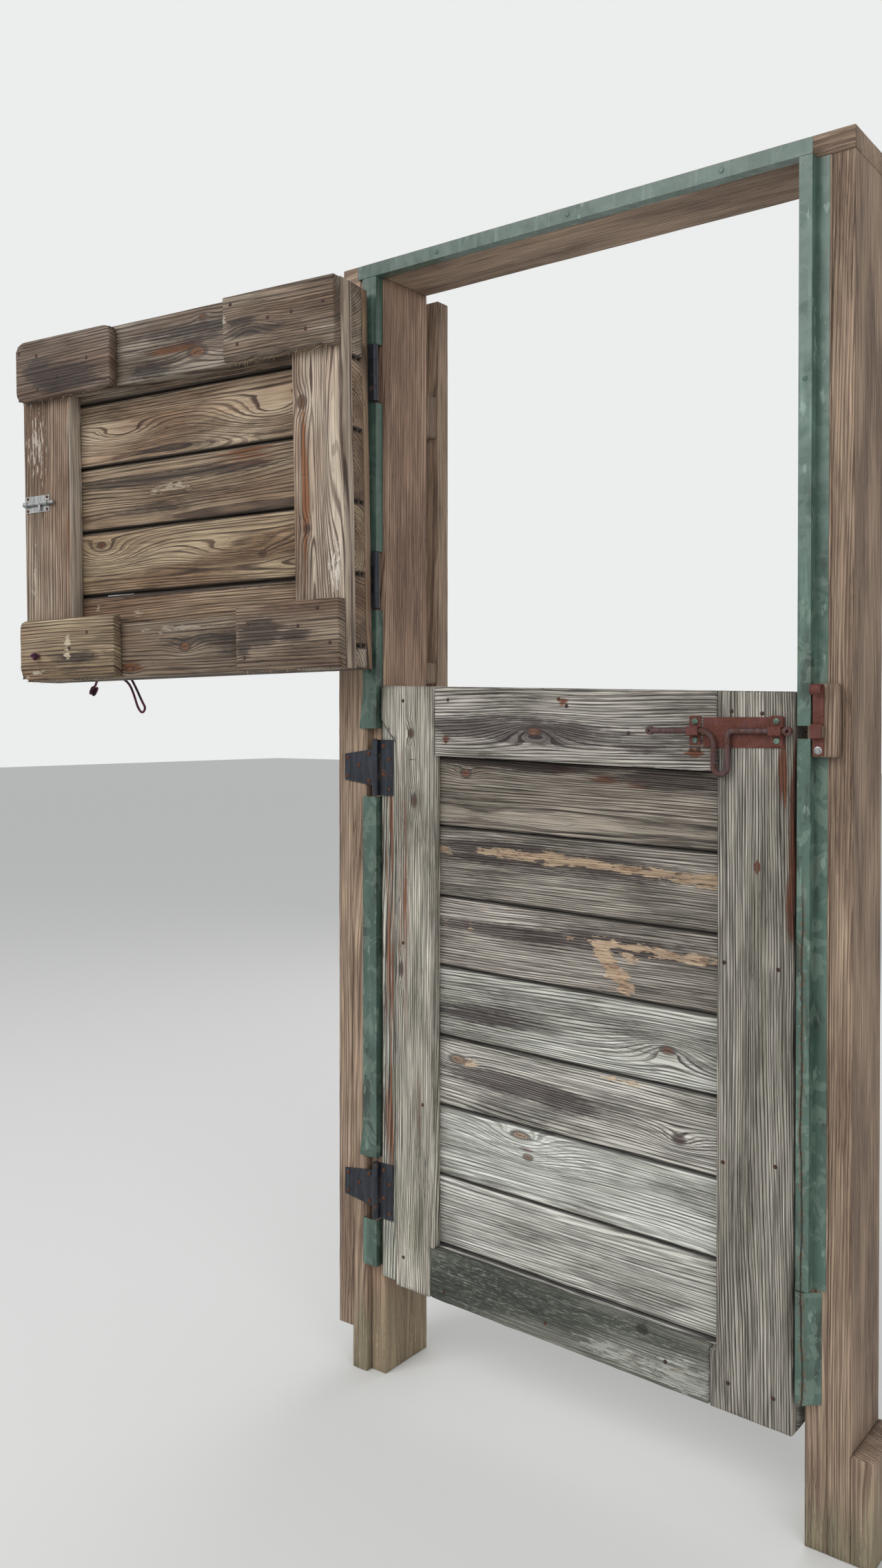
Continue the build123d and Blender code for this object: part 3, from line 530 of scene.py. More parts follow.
def sawn(outline, front, thick, step, arris):
    """Board sawn to an outline, cut into a grid, with its arrises taken off."""
    made = bmesh.new()
    face = made.faces.new([made.verts.new((x, z, front)) for x, z in outline])
    pushed = bmesh.ops.extrude_face_region(made, geom=[face])
    for vert in [v for v in pushed["geom"] if isinstance(v, bmesh.types.BMVert)]:
        vert.co.z += thick
    bmesh.ops.recalc_face_normals(made, faces=made.faces)
    limits = [sorted({p[0] for p in outline}), sorted({p[1] for p in outline}),
              [front, front + thick]]
    for axis, (corners, spacing) in enumerate(zip(limits, step)):
        normal = [float(axis == i) for i in range(3)]
        for spot in cuts(corners, spacing, 2.2 * arris):
            bmesh.ops.bisect_plane(
                made, geom=made.verts[:] + made.edges[:] + made.faces[:],
                plane_co=[n * spot for n in normal], plane_no=normal, dist=1e-4,
            )
    sharp = [e for e in made.edges if len(e.link_faces) == 2 and e.calc_face_angle() > SHARP]
    bmesh.ops.bevel(
        made, geom=sharp, offset=arris, segments=2, profile=0.55, affect="EDGES",
        clamp_overlap=True,
    )
    made.normal_update()
    return made


def rim_reach(spots, outline, lengthways):
    """How far each spot lies from the outline's edges that run along the grain."""
    reach = np.full(len(spots), FAR_OFF)
    for here, there in zip(outline, outline[1:] + outline[:1]):
        run = np.subtract(there, here)
        if abs(run[lengthways]) < abs(run[1 - lengthways]):
            continue
        out = spots[:, :2] - here
        far = np.abs(out[:, 0] * run[1] - out[:, 1] * run[0]) / np.hypot(*run)
        beside = (out @ run) / (run @ run)
        level = (beside > -0.1) & (beside < 1.1)
        reach[level] = np.minimum(reach, far)[level]
    return reach


def work_in(piece, modifier):
    """Piece made a plain mesh with its modifier worked in and taken off."""
    bpy.context.view_layer.update()
    shaped = piece.evaluated_get(bpy.context.evaluated_depsgraph_get())
    mesh = bpy.data.meshes.new_from_object(shaped)
    piece.modifiers.remove(modifier)
    piece.data = mesh


def drill(piece, start, end, radius):
    """Round hole through a piece, from one point of the model to another."""
    tool = new_object("drill", closed_mesh("drill", *tube([start, end], radius, sides=16)))
    cut = piece.modifiers.new("hole", "BOOLEAN")
    cut.object = tool
    cut.operation = "DIFFERENCE"
    cut.solver = "EXACT"
    work_in(piece, cut)
    bpy.data.objects.remove(tool)


def timber(
    name, outline, front, thick, grain, finish, body, slot, nodes=(),
    step=(9, 9, 11), arris=1.6, wear=1.6, ripple=0.5, pith=None, knots=(), hills=(),
    stains=(), pales=(), growths=(), warms=(), worn=(), hole=None,
    tone=(1.0, 1.0, 1.0), seam=0.0, marked_side=0,
):
    """Board sawn to an outline on the door, with its arrises and faces worn by weather.

    The outline is its corners, or the left, low, right and high sides of a box. Grain
    names the axes along, across and through the board. Knots are (along, across, reach
    along, reach across, kind), hills push the rings aside, and marks are (x, z, reach
    along, reach up, strength), on the front (-1), back (1) or both faces. Worn spots are
    (x, z, reach, depth). Tone is a tint and, after it, the strength of the ring lines. A
    seam above nothing darkens the long edges, and one below pales them.
    """
    if not isinstance(outline[0], tuple):
        left, low, right, high = outline
        outline = [(left, low), (right, low), (right, high), (left, high)]
    number = next(board_count)
    luck = np.random.default_rng(number * 7 + 3)
    made = sawn(outline, front, thick, step, arris)
    spots = np.array([v.co for v in made.verts])
    normals = np.array([v.normal for v in made.verts])

    # Wear: arrises lose most, faces ripple, and worn spots are taken down further
    order = [AXES[letter] for letter in grain]
    fibre = spots[:, order] / FIBRE
    rounded = np.clip((1 - np.abs(normals).max(1)) / FULLY_ROUND, 0, 1)
    loss = rounded * wear * (0.5 + 0.5 * waves(fibre * 2.5, number)) ** 1.5
    loss += ripple * (0.5 + 0.5 * waves(fibre, number + 50))
    for x, z, reach, depth in worn:
        far = np.hypot(spots[:, 0] - x, spots[:, 1] - z) / reach
        rag = 1 + 0.5 * waves(fibre * 4, number + 90)
        loss += depth * np.clip(1 - far, 0, 1) * rag
    spots_worn = spots - normals * loss[:, None]

    # Where the grain runs, and what marks it
    lows, highs = spots.min(0), spots.max(0)
    centre = (lows + highs) / 2
    if pith is None:
        pith = (
            luck.choice((-1, 1)) * luck.uniform(0.55, 1.5) * (highs - lows)[order[1]],
            luck.uniform(25, 80),
        )
    fibre_place = spots[:, order] - centre[order]
    fibre_place[:, 0] += luck.uniform(-LENGTH_OF_LOG, LENGTH_OF_LOG)
    fibre_place[:, 1:] -= pith
    fibre_place[:, 1:] *= luck.uniform(0.8, 1.25)

    def beside(along_at, across_at, reach, width):
        """Places along and across the grain from a knot or hill, in its own reaches."""
        return (spots[:, order[0]] - along_at) / reach, (spots[:, order[1]] - across_at) / width

    lift = np.zeros(len(spots))
    nearest = np.full(len(spots), FAR_OFF)
    knot_place = np.tile((9.0, 9.0, 0.0), (len(spots), 1))
    for *shape, kind in knots:
        near, wide = beside(*shape)
        far = np.hypot(near, wide)
        lift += 1.3 * shape[3] * np.exp(-np.hypot(near / 2.6, wide / 1.7) ** 2)
        take = far < nearest
        nearest[take] = far[take]
        knot_place[take] = np.column_stack([near, wide, np.full(len(spots), kind)])[take]
    for *shape, amount in hills:
        near, wide = beside(*shape)
        lift += amount * np.exp(-(near ** 2 + wide ** 2))
    layers = []
    for group in (stains, pales, growths, warms):
        layer = np.zeros(len(spots))
        for x, z, reach, height, strength in group:
            far = np.hypot((spots[:, 0] - x) / reach, (spots[:, 1] - z) / height)
            layer = np.maximum(layer, strength * np.clip(1.25 - 0.75 * far, 0, 1))
        if marked_side:
            layer *= (spots[:, 2] - front - thick / 2) * marked_side > 0
        layers.append(layer)
    rim = rim_reach(spots, outline, 0 if grain[0] == "t" else 1)
    rim = seam * np.clip(1 - rim / SEAM_REACH, 0, 1)

    if body == "lower_leaf":
        spots_worn[:, 1] -= spots_worn[:, 0] * SAG
    for vert, spot in zip(made.verts, place(spots_worn, body == "upper_leaf")):
        vert.co = spot
    mesh = bpy.data.meshes.new(name)
    made.normal_update()
    made.to_mesh(mesh)
    made.free()
    for title, kind, values in (
        ("grain", "vector", fibre_place * MM),
        ("knot", "vector", knot_place),
        ("lift", "value", lift * MM),
        ("warmth", "value", layers[3]),
        ("marks", "color", np.column_stack(layers[:3] + [np.ones(len(spots))])),
        ("tone", "color", np.tile((*tone, 1.0)[:4], (len(spots), 1))),
        ("rim", "value", rim),
    ):
        type_name = {"vector": "FLOAT_VECTOR", "value": "FLOAT", "color": "FLOAT_COLOR"}[kind]
        store = mesh.attributes.new(title, type_name, "POINT")
        store.data.foreach_set(kind, values.astype(np.float32).ravel())
    mesh.shade_smooth()
    mesh.materials.append(finish)
    piece = new_object(name, mesh)
    if hole:
        drill(piece, *hole)
    declare(piece, body, nodes)


def part(node, *sizes, **looks):
    """Timber that stands for one node and is named after it."""
    timber(f"{node}_timber", *sizes, nodes=[node], **looks)


# Door frame
FOOT, HEAD = -205, 2058
SETBACK, DEPTH, PLY = 16, 140, 38
LATCH_FACE = 892
LEFT_END, RIGHT_END = -3 * PLY, LATCH_FACE + 2 * PLY
frame_look = {"finish": frame_wood, "body": "frame", "slot": "frame_timber"}
frame_part = functools.partial(part, **frame_look)
socket = place([(880, 1660, 104.3), (945, 1660, 104.3)])
for name, left, low, high, front, growth, looks in (
    ("hinge_jamb", -PLY, FOOT, HEAD, SETBACK, (190, 1.0), {"tone": (1.14, 1.05, 1.04)}),
    ("hinge_post_inner", -2 * PLY, FOOT, HEAD, 0, (170, 0.9), {}),
    ("hinge_post_outer", LEFT_END, -120, HEAD, 0, (), {}),
    ("latch_jamb", LATCH_FACE, FOOT, HEAD, SETBACK, (110, 0.9), {"hole": (*socket, 6 * MM)}),
    ("latch_post", LATCH_FACE + PLY, FOOT, HEAD, SETBACK, (110, 0.9), {}),
    ("latch_stub", RIGHT_END, FOOT, -30, SETBACK, (110, 0.9), {}),
):
    if growth:
        looks["growths"] = [(left + PLY / 2, FOOT, 400, *growth)]
    frame_part(
        name, (left, low, left + PLY, high), front, DEPTH, ON_EDGE, step=(10, 16, 10), **looks
    )
frame_part(
    "head_board", (LEFT_END, HEAD, RIGHT_END, HEAD + PLY), SETBACK, DEPTH, "tnz",
    step=(16, 10, 10),
)
STUD_FRONT = SETBACK + DEPTH + PLY
frame_part(
    "inner_stud", (-PLY, -100, 0, HEAD), STUD_FRONT, PLY, ON_EDGE, step=(10, 16, 10), wear=3
)
for number, (low, high) in enumerate(((1761, 1851), (1230, 1275))):
    timber(
        f"stud_block_{number}", (-PLY + 3, low, -3, high), STUD_FRONT - PLY, PLY + 2,
        ON_EDGE, step=(10, 10, 10), wear=2, **frame_look,
    )

# Both leaves are an outer frame, boards and an inner frame, each (depth, thickness)
LEFT, RIGHT = 2, 878
OUTER, BOARD, INNER, CLEAT = (0, 22), (22, 38), (60, 38), (98, 25)
OUTER_SIDES, INNER_SIDES = (LEFT, 138, 742, RIGHT), (LEFT, 123, 733, 875)
JOINT = 0.3


def members(sides, foot, low_rail, top_rail, head):
    """Sides and grain of the two stiles and two rails of a leaf's frame."""
    left, stile_left, stile_right, right = sides
    rail_left, rail_right = stile_left + JOINT, stile_right - JOINT
    return (
        ("hinge_stile", (left, foot, stile_left, head), UPRIGHT),
        ("latch_stile", (stile_right, foot, right, head), UPRIGHT),
        ("top_rail", (rail_left, top_rail, rail_right, head), LEVEL),
        ("low_rail", (rail_left, foot, rail_right, low_rail), LEVEL),
    )


def planks(leaf, tops, gap, looks, **look):
    """Level boards of a leaf from the top down, each pair a gap apart."""
    for number, (high, low) in enumerate(zip(tops, tops[1:])):
        low, high = low + gap * (low > tops[-1]) / 2, high - gap * (number > 0) / 2
        timber(
            f"{leaf}_plank_{number}", (LEFT, low, RIGHT, high), *BOARD, LEVEL, seam=1.0,
            nodes=[f"{leaf}_board_{number}"], **look, **looks.get(number, {}),
        )


# Lower leaf
LOWER_TOP = 1222
lower_look = {
    "finish": lower_wood, "body": "lower_leaf", "slot": "lower_timber", "arris": 2.6, "wear": 2.4,
}
lower_part = functools.partial(part, **lower_look)
lower_tops = [LOWER_TOP, 1084, 944.3, 804.6, 664.9, 525.2, 385.5, 245.8, 106.1, 0]
lower_looks = {
    1: dict(
        tone=(0.54, 0.48, 0.43), pith=(-40, 30),
        knots=[(201, 1047 + 201 * SAG, 12, 8, 1)],
        warms=[(240, 1058, 40, 12, 0.5), (408, 1074, 50, 12, 0.65), (513, 1056, 40, 11, 0.6),
               (577, 1048, 40, 11, 0.65)],
        growths=[(430, 1010, 330, 60, 0.35)],
        stains=[(300, 1080, 250, 16, 0.9), (640, 1065, 90, 24, 0.8)],
    ),
    2: dict(
        tone=(0.68, 0.63, 0.59), pith=(130, 60),
        pales=[
            (145, 897, 22, 8, 1.0), (240, 902, 26, 5, 1.0), (300, 902, 60, 9, 1.0),
            (350, 902, 50, 10, 1.0), (405, 902, 44, 14, 1.0), (452, 901, 44, 11, 1.0),
            (500, 899, 44, 8, 1.0), (560, 898, 50, 8, 1.0), (620, 897, 50, 9, 1.0),
            (675, 895, 44, 10, 1.0), (718, 893, 30, 13, 1.0),
        ],
        stains=[(430, 898, 330, 24, 0.85), (300, 912, 200, 12, 1.0)],
        worn=[(420, 899, 60, 2.5), (300, 901, 40, 2), (580, 896, 60, 2.5)],
    ),
    3: dict(
        tone=(0.84, 0.78, 0.75), pith=(150, 50),
        pales=[
            (151, 755, 8, 5, 1.0), (212, 752, 8, 5, 1.0), (437, 759, 10, 5, 1.0),
            (520, 760, 40, 7, 1.0), (580, 759, 50, 8, 1.0), (640, 757, 50, 8, 1.0),
            (695, 755, 44, 9, 1.0), (506, 742, 17, 13, 1.1), (518, 728, 17, 13, 1.1),
            (530, 714, 18, 13, 1.1), (543, 700, 18, 14, 1.1), (556, 686, 16, 12, 1.1),
            (571, 737, 24, 7, 0.9),
        ],
        stains=[(300, 752, 190, 15, 0.95), (560, 757, 200, 20, 0.8)],
        worn=[(530, 720, 34, 4.5), (552, 692, 30, 4.5), (620, 758, 40, 2)],
    ),
    4: dict(
        pith=(110, 60), knots=[(640, 588, 14, 7, 0.8)], stains=[(250, 578, 150, 18, 0.7)],
        hills=[(640, 585, 90, 30, 22)], tone=(1.04, 1.07, 1.05, 0.95),
    ),
    5: dict(
        pith=(-120, 60), knots=[(180, 483, 18, 9, 1.4), (662, 434, 12, 7, 0.3)],
        stains=[(300, 458, 190, 22, 0.8), (430, 440, 90, 14, 0.6)],
        pales=[(550, 515, 60, 6, 0.7), (200, 482, 30, 9, 0.9)], tone=(1.04, 1.03, 1.01, 1.0),
        hills=[(662, 434, 70, 24, 14)],
    ),
    6: dict(
        knots=[(330, 366, 20, 6, 1.5), (347, 328, 10, 6, 1.3)], hills=[(335, 345, 110, 38, 26)],
        growths=[(430, 315, 400, 70, 0.3)], pith=(-90, 40), tone=(1.15, 1.19, 1.19, 0.7),
    ),
    7: dict(growths=[(430, 175, 420, 70, 0.35)], pith=(100, 60), tone=(1.15, 1.17, 1.16, 0.8)),
}
planks("lower", lower_tops, 1.2, lower_looks, marked_side=-1, **lower_look)
lower_part(
    "lower_hinge_stile",
    [(40, 0), (127, 0), (127, 100), (138, 100), (138, LOWER_TOP), (LEFT, LOWER_TOP),
     (LEFT, 1152), (40, 1108)],
    *OUTER, UPRIGHT,
    knots=[(1127, 80, 9, 7, 0.5), (992, 88, 13, 7, 0.4), (648, 54, 14, 6, 0.4)],
    warms=[(60, 800, 14, 260, 0.6), (100, 300, 10, 180, 0.5)],
    growths=[(70, 120, 50, 130, 0.5), (90, 640, 12, 200, 0.45)], tone=(1.06, 1.02, 0.95),
)
lower_part(
    "lower_hinge_strip", [(LEFT, 6), (38.8, 6), (38.8, 1107), (LEFT, 1150)], 1, 21, UPRIGHT,
    wear=3, warms=[(20, 600, 20, 500, 0.5)], stains=[(8, 500, 8, 420, 0.5)],
    tone=(0.9, 0.92, 0.87),
)
lower_part(
    "lower_latch_stile",
    [(731, 0), (RIGHT, 0), (RIGHT, LOWER_TOP), (742, LOWER_TOP), (742, 100), (731, 100)],
    *OUTER, UPRIGHT,
    warms=[(856, 1085, 7, 55, 1.0), (876, 1000, 6, 130, 1.1), (872, 860, 6, 60, 0.9),
           (815, 930, 9, 9, 0.8)],
    growths=[(800, 500, 80, 500, 0.25)], tone=(0.65, 0.62, 0.58),
)
lower_part(
    "lower_top_rail", (138.3, 1084, 741.7, LOWER_TOP), *OUTER, LEVEL,
    knots=[(374, 1140, 17, 8, 1)], hills=[(374, 1140, 110, 26, 20)],
    stains=[(350, 1144, 230, 26, 0.8), (600, 1120, 60, 18, 0.5)],
    warms=[(701, 1112, 16, 9, 1.0), (168, 1118, 12, 8, 0.8), (437, 1196, 16, 8, 0.8)],
    pales=[(374, 1139, 12, 5, 0.9)], tone=(0.81, 0.77, 0.75),
)
part(
    "lower_sill_rail", (127.3, 0, 730.7, 100), *OUTER, LEVEL,
    finish=sill_wood, body="lower_leaf", slot="mossy_timber", arris=4, wear=3.2,
    growths=[(300, 75, 330, 50, 1.0), (200, 40, 220, 60, 1.0), (560, 85, 200, 26, 0.8)],
    pales=[(560, 30, 90, 16, 0.75), (680, 32, 60, 30, 0.85)],
    knots=[(603, 90, 10, 8, 0)], tone=(1.34, 1.36, 1.44),
)
for name, sides, grain in members(INNER_SIDES, 0, 120, 1090, LOWER_TOP):
    timber(
        f"lower_inner_{name}", sides, *INNER, grain, nodes=["lower_inner_frame"],
        step=(10, 14, 12) if grain == UPRIGHT else (14, 10, 12), **lower_look,
    )

# Upper leaf
UPPER_FOOT, UPPER_TOP = 1254, 2028
upper_look = {"finish": upper_wood, "body": "upper_leaf", "slot": "upper_timber"}
upper_part = functools.partial(part, **upper_look)
cord_bore = (*place([(815, 1310, -20), (815, 1310, 150)], swung=True), 3.25 * MM)
upper_tops = [UPPER_TOP, 1879, 1734.3, 1589.6, 1444.9, 1300.2, UPPER_FOOT]
upper_looks = {
    1: dict(
        hills=[(190, 1790, 170, 44, 62), (610, 1796, 120, 26, 40)],
        stains=[(440, 1752, 200, 8, 0.5)], pith=(-50, 34), tone=(1.05, 0.99, 0.9),
    ),
    2: dict(
        stains=[(500, 1690, 330, 14, 0.75), (560, 1625, 220, 14, 0.6)],
        warms=[(260, 1712, 90, 26, 0.62)], pales=[(480, 1668, 70, 12, 0.75)],
        hills=[(420, 1670, 260, 30, 18)], pith=(-60, 50), tone=(0.66, 0.58, 0.49),
    ),
    3: dict(
        knots=[(678, 1557, 12, 7, 0.6), (230, 1503, 10, 7, 0.4)],
        hills=[(670, 1530, 120, 34, 40), (300, 1515, 190, 30, 36)], pith=(-30, 30),
        tone=(0.9, 0.82, 0.68),
    ),
    4: dict(
        pales=[(750, 1425, 12, 10, 0.8), (690, 1415, 8, 10, 0.7), (571, 1400, 14, 8, 0.7)],
        stains=[(430, 1438, 330, 8, 0.8)], hole=cord_bore, tone=(0.75, 0.63, 0.53),
    ),
}
planks(
    "upper", upper_tops, 5, upper_looks, marked_side=1, arris=2.2, wear=2.2, **upper_look
)

# Tongues toned dark as painted shade fill the gaps between the boards, but for an open slit in one
# of them
OPEN_GAP, SLIT = 3, (597, 680)
for number, low in enumerate(upper_tops[1:6]):
    ends = (LEFT + 1, *(SLIT if number == OPEN_GAP else ()), RIGHT - 1)
    for run, (left, right) in enumerate(zip(ends[::2], ends[1::2])):
        timber(
            # Their dark tone is painted shade in the gaps
            f"upper_shade_tongue_{number}_{run}", (left, low - 6, right, low + 6), 38, 8,
            LEVEL, **upper_look, arris=0.8, tone=(0.2, 0.18, 0.16), wear=0.5,
        )
upper_frame_looks = {
    "hinge_stile": dict(
        pith=(12, 26), tone=(1.09, 1.07, 1.09), hills=[(1700, 40, 260, 26, 30)],
        knots=[(1792, 99, 12, 10, 0.5), (1537, 92, 9, 8, 0.2)],
        warms=[(95, 1625, 8, 170, 1.0)], pales=[(23, 1454, 18, 50, 0.48)],
    ),
    "latch_stile": dict(
        hole=cord_bore, wear=2.6, tone=(0.84, 0.78, 0.75), seam=-0.7,
        pales=[(835, 1810, 34, 90, 0.52), (850, 1500, 14, 60, 0.45)],
        warms=[(738, 1640, 5, 260, 0.7)],
    ),
    "top_rail": dict(
        tone=(0.66, 0.67, 0.7), warms=[(425, 1952, 70, 11, 1.0)],
        knots=[(364, 1935, 24, 12, 0.9), (348, 2006, 10, 6, 0.7)],
        stains=[(380, 1975, 150, 26, 0.7), (500, 1915, 80, 20, 0.6)],
    ),
    "low_rail": dict(
        ripple=1.2, tone=(0.57, 0.54, 0.5), warms=[(560, 1280, 40, 16, 0.8)],
        knots=[(410, 1315, 14, 10, 0.9), (565, 1271, 10, 7, 0.8)],
        pales=[(430, 1354, 120, 10, 0.56)],
        stains=[(330, 1330, 150, 16, 0.7), (250, 1305, 90, 14, 0.6)],
    ),
}
for name, sides, grain in members(INNER_SIDES, UPPER_FOOT, 1374, 1896, UPPER_TOP):
    upper_part(f"upper_{name}", sides, *INNER, grain, **upper_frame_looks[name])
for name, sides, looks in (
    ("top_hinge", (LEFT, 1890, 278, 2026), dict(
        tone=(0.72, 0.71, 0.7), pith=(80, 50), hills=[(210, 1955, 60, 22, 22)],
        stains=[(195, 1945, 80, 12, 0.85), (230, 1968, 40, 10, 0.7)],
        pales=[(274, 1980, 5, 10, 0.8)],
        worn=[(270, 1892, 20, 4), (200, 1890, 16, 5), (120, 1890, 20, 4), (40, 1890, 22, 5)],
    )),
    ("top_latch", (586, 1890, 872, 2026), dict(
        tone=(0.54, 0.49, 0.49),
        stains=[(730, 1925, 110, 30, 0.95), (800, 1960, 50, 24, 0.8)],
        worn=[(872, 2026, 22, 9), (586, 2026, 16, 7), (872, 1890, 20, 8), (600, 1890, 30, 5)],
    )),
    ("low_hinge", (LEFT, 1256, 256, 1392), dict(
        tone=(0.7, 0.64, 0.6),
        stains=[(190, 1335, 60, 26, 0.95), (110, 1325, 50, 16, 0.8), (235, 1300, 20, 30, 0.7)],
    )),
    ("low_latch", (586, 1256, 872, 1392), dict(
        hole=cord_bore, tone=(0.88, 0.82, 0.68),
        pales=[(724, 1332, 9, 28, 0.85), (820, 1275, 40, 14, 0.5)],
        stains=[(700, 1300, 90, 20, 0.5)], worn=[(872, 1256, 26, 9), (872, 1392, 16, 6)],
    )),
):
    upper_part(
        f"cleat_{name}", sides, *CLEAT, LEVEL, arris=3, wear=3.0, step=(7, 7, 7), seam=-0.45,
        **looks,
    )
for name, sides, grain in members(OUTER_SIDES, UPPER_FOOT, 1392, 1890, UPPER_TOP):
    timber(
        f"upper_outer_{name}", sides, *OUTER, grain, nodes=["upper_outer_frame"],
        **upper_look, hole=cord_bore if name == "latch_stile" else None,
        tone=(0.66, 0.57, 0.49),
    )

# Keeper block
frame_part(
    "keeper_block", (907, 1091, 949, 1210), -3, 18, UPRIGHT, step=(6, 7, 6), arris=2, wear=2.5
)


# Fasteners and frayed fibres, each set out by a node tree on a row of points
def started_tree(name, *inputs):
    """Node tree with its sockets, and what it is given."""
    tree = bpy.data.node_groups.new(name, "GeometryNodeTree")
    for title, way, kind in (
        ("Points", "INPUT", "Geometry"), *((title, "INPUT", kind) for title, kind in inputs),
        ("Finish", "INPUT", "Material"), ("Seed", "INPUT", "Int"),
        ("Made", "OUTPUT", "Geometry"),
    ):
        tree.interface.new_socket(title, in_out=way, socket_type=f"NodeSocket{kind}")
    return tree, tree.nodes.new("NodeGroupInput").outputs


def finished(tree, given, shape, size, turn, **more):
    """Shape sized and set on every point, made real and given its finish."""
    size = wire(tree, "ShaderNodeCombineXYZ", size)
    sized = wire(tree, "GeometryNodeTransform", {"Geometry": shape, "Scale": size})
    spread = wire(tree, "GeometryNodeInstanceOnPoints", {
        "Points": given["Points"], "Instance": sized, "Rotation": turn, **more,
    })
    real = wire(tree, "GeometryNodeRealizeInstances", {"Geometry": spread})
    coated = wire(
        tree, "GeometryNodeSetMaterial", {"Geometry": real, "Material": given["Finish"]}
    )
    wire(tree, "NodeGroupOutput", {0: coated}, slice(None))
    return tree


def chance(tree, given, low, high):
    """Random vector between two, its own for every point."""
    return wire(
        tree, "FunctionNodeRandomValue", {0: low, 1: high, "Seed": given["Seed"]},
        data_type="FLOAT_VECTOR",
    )


def head_tree(name, kind):
    """Nail, cross-slotted screw or hexagon screw with its washer, on every point."""
    tree, given = started_tree(
        name, ("Head radius", "Float"), ("Head height", "Float"), ("Facing", "Vector")
    )
    if kind == "hexagon":
        body = wire(
            tree, "GeometryNodeMeshCylinder", {"Vertices": 6, "Radius": 0.62, "Depth": 2.0}
        )
        washer = wire(
            tree, "GeometryNodeMeshCone",
            {"Vertices": 16, "Radius Top": 0.7, "Radius Bottom": 1.0, "Depth": 0.35},
        )
        shape = wire(tree, "GeometryNodeJoinGeometry", {0: [body, washer]})
    else:
        shape = wire(
            tree, "GeometryNodeMeshUVSphere", {"Segments": 14, "Rings": 8, "Radius": 1.0}
        )
    if kind == "cross":
        bars = [
            wire(tree, "GeometryNodeTransform", {
                "Geometry": wire(tree, "GeometryNodeMeshCube", {"Size": bar}),
                "Translation": (0, 0, 0.95),
            }) for bar in ((1.3, 0.24, 0.7), (0.24, 1.3, 0.7))
        ]
        shape = wire(
            tree, "GeometryNodeMeshBoolean", {"Mesh 1": shape, "Mesh 2": bars},
            operation="DIFFERENCE",
        )
    tilt = chance(tree, given, (-0.12, -0.12, 0), (0.12, 0.12, 6.28))
    turned = wire(
        tree, "FunctionNodeRotateRotation", {"Rotation": tilt, "Rotate By": given["Facing"]},
        rotation_space="GLOBAL",
    )
    radius = given["Head radius"]
    return finished(
        tree, given, shape, {0: radius, 1: radius, 2: given["Head height"]}, turned
    )


def splinter_tree():
    """Thin fibres that hang from a frayed edge, each of its own length and lean."""
    tree, given = started_tree("frayed fibres", ("Length", "Float"), ("Thickness", "Float"))
    thread = wire(
        tree, "GeometryNodeMeshCone",
        {"Vertices": 5, "Radius Top": 0.15, "Radius Bottom": 1.0, "Depth": 1.0},
    )
    thin = given["Thickness"]
    return finished(
        tree, given, thread, {0: thin, 1: thin, 2: given["Length"]},
        chance(tree, given, (2.6, -1.5, 0), (3.7, 1.5, 0)),
        Scale=chance(tree, given, (0.6, 0.6, 0.35), (1.2, 1.2, 1.3)),
    )


def set_out(name, tree, spots, body, slot, nodes=(), **values):
    """Piece grown by a node tree on points of the shut door, in the model's metres."""
    mesh = bpy.data.meshes.new(name)
    mesh.from_pydata([tuple(p) for p in spots], [], [])
    piece = new_object(name, mesh)
    grown = piece.modifiers.new("grown", "NODES")
    grown.node_group = tree
    for item in tree.interface.items_tree:
        if item.in_out == "INPUT" and item.name in values:
            grown[item.identifier] = values[item.name]
    work_in(piece, grown)
    if body == "upper_leaf":
        piece.data.transform(SWING)
    declare(piece, body, nodes)


def screw_places(node, inward=False):
    """Middles of the screw heads of a node, on the shut door in metres."""
    way = 1 if inward else -1
    found = bmesh.new()
    found.from_mesh(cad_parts[node].data)
    bmesh.ops.remove_doubles(found, verts=found.verts, dist=1e-6)
    found.verts.index_update()
    todo, spots = set(found.verts), []
    while todo:
        group, edge = set(), [next(iter(todo))]
        while edge:
            vert = edge.pop()
            if vert not in group:
                group.add(vert)
                edge.extend(e.other_vert(vert) for e in vert.link_edges)
        todo -= group
        shut = SWING.inverted() if node == "upper_screws" else Matrix()
        corners = [shut @ v.co for v in sorted(group, key=lambda v: v.index)]
        wide = max(c.x for c in corners) - min(c.x for c in corners)
        middle = sum(corners, Vector()) / len(corners)
        top = max(way * c.y for c in corners)
        head = [c for c in corners if abs(way * c.y - top) < 0.5 * MM]
        centre = sum(head, Vector()) / len(head)
        if wide > 6 * MM and (centre.y > middle.y) == inward:
            spots.append((centre.x, centre.y - way * 1.2 * MM, centre.z))
    found.free()
    return sorted(spots)


def on_face(places, depth):
    """Points of the model on a face of the shut door."""
    return place([(x, z, depth) for x, z in places])


nail_tree = head_tree("nail heads", "nail")
cross_tree = head_tree("cross screws", "cross")
hexagon_tree = head_tree("hexagon screws", "hexagon")
frame_spots, lower_spots = screw_places("frame_screws"), screw_places("lower_screws")
HALF_WAY = 0.5
leaf_nails = [
    (173, 1191), (445, 1177), (428, 1190), (168, 1109), (694, 1100), (708, 1101), (573, 1128),
    (756, 742), (851, 741), (847, 415), (755, 403), (765, 30), (845, 30), (768, 1166),
    (822, 1162), (60, 1190), (60, 700), (60, 60), (110, 380), (163, 18), (648, 30), (400, 25),
]
cleat_nails = [
    (860, 2002), (806, 1989), (654, 1962), (745, 1933), (803, 1914), (256, 2008), (29, 1975),
    (105, 1968), (71, 1928), (240, 1924), (163, 1966), (53, 1374), (24, 1304), (224, 1350),
    (100, 1341), (233, 1283), (666, 1358), (649, 1304), (719, 1324),
]
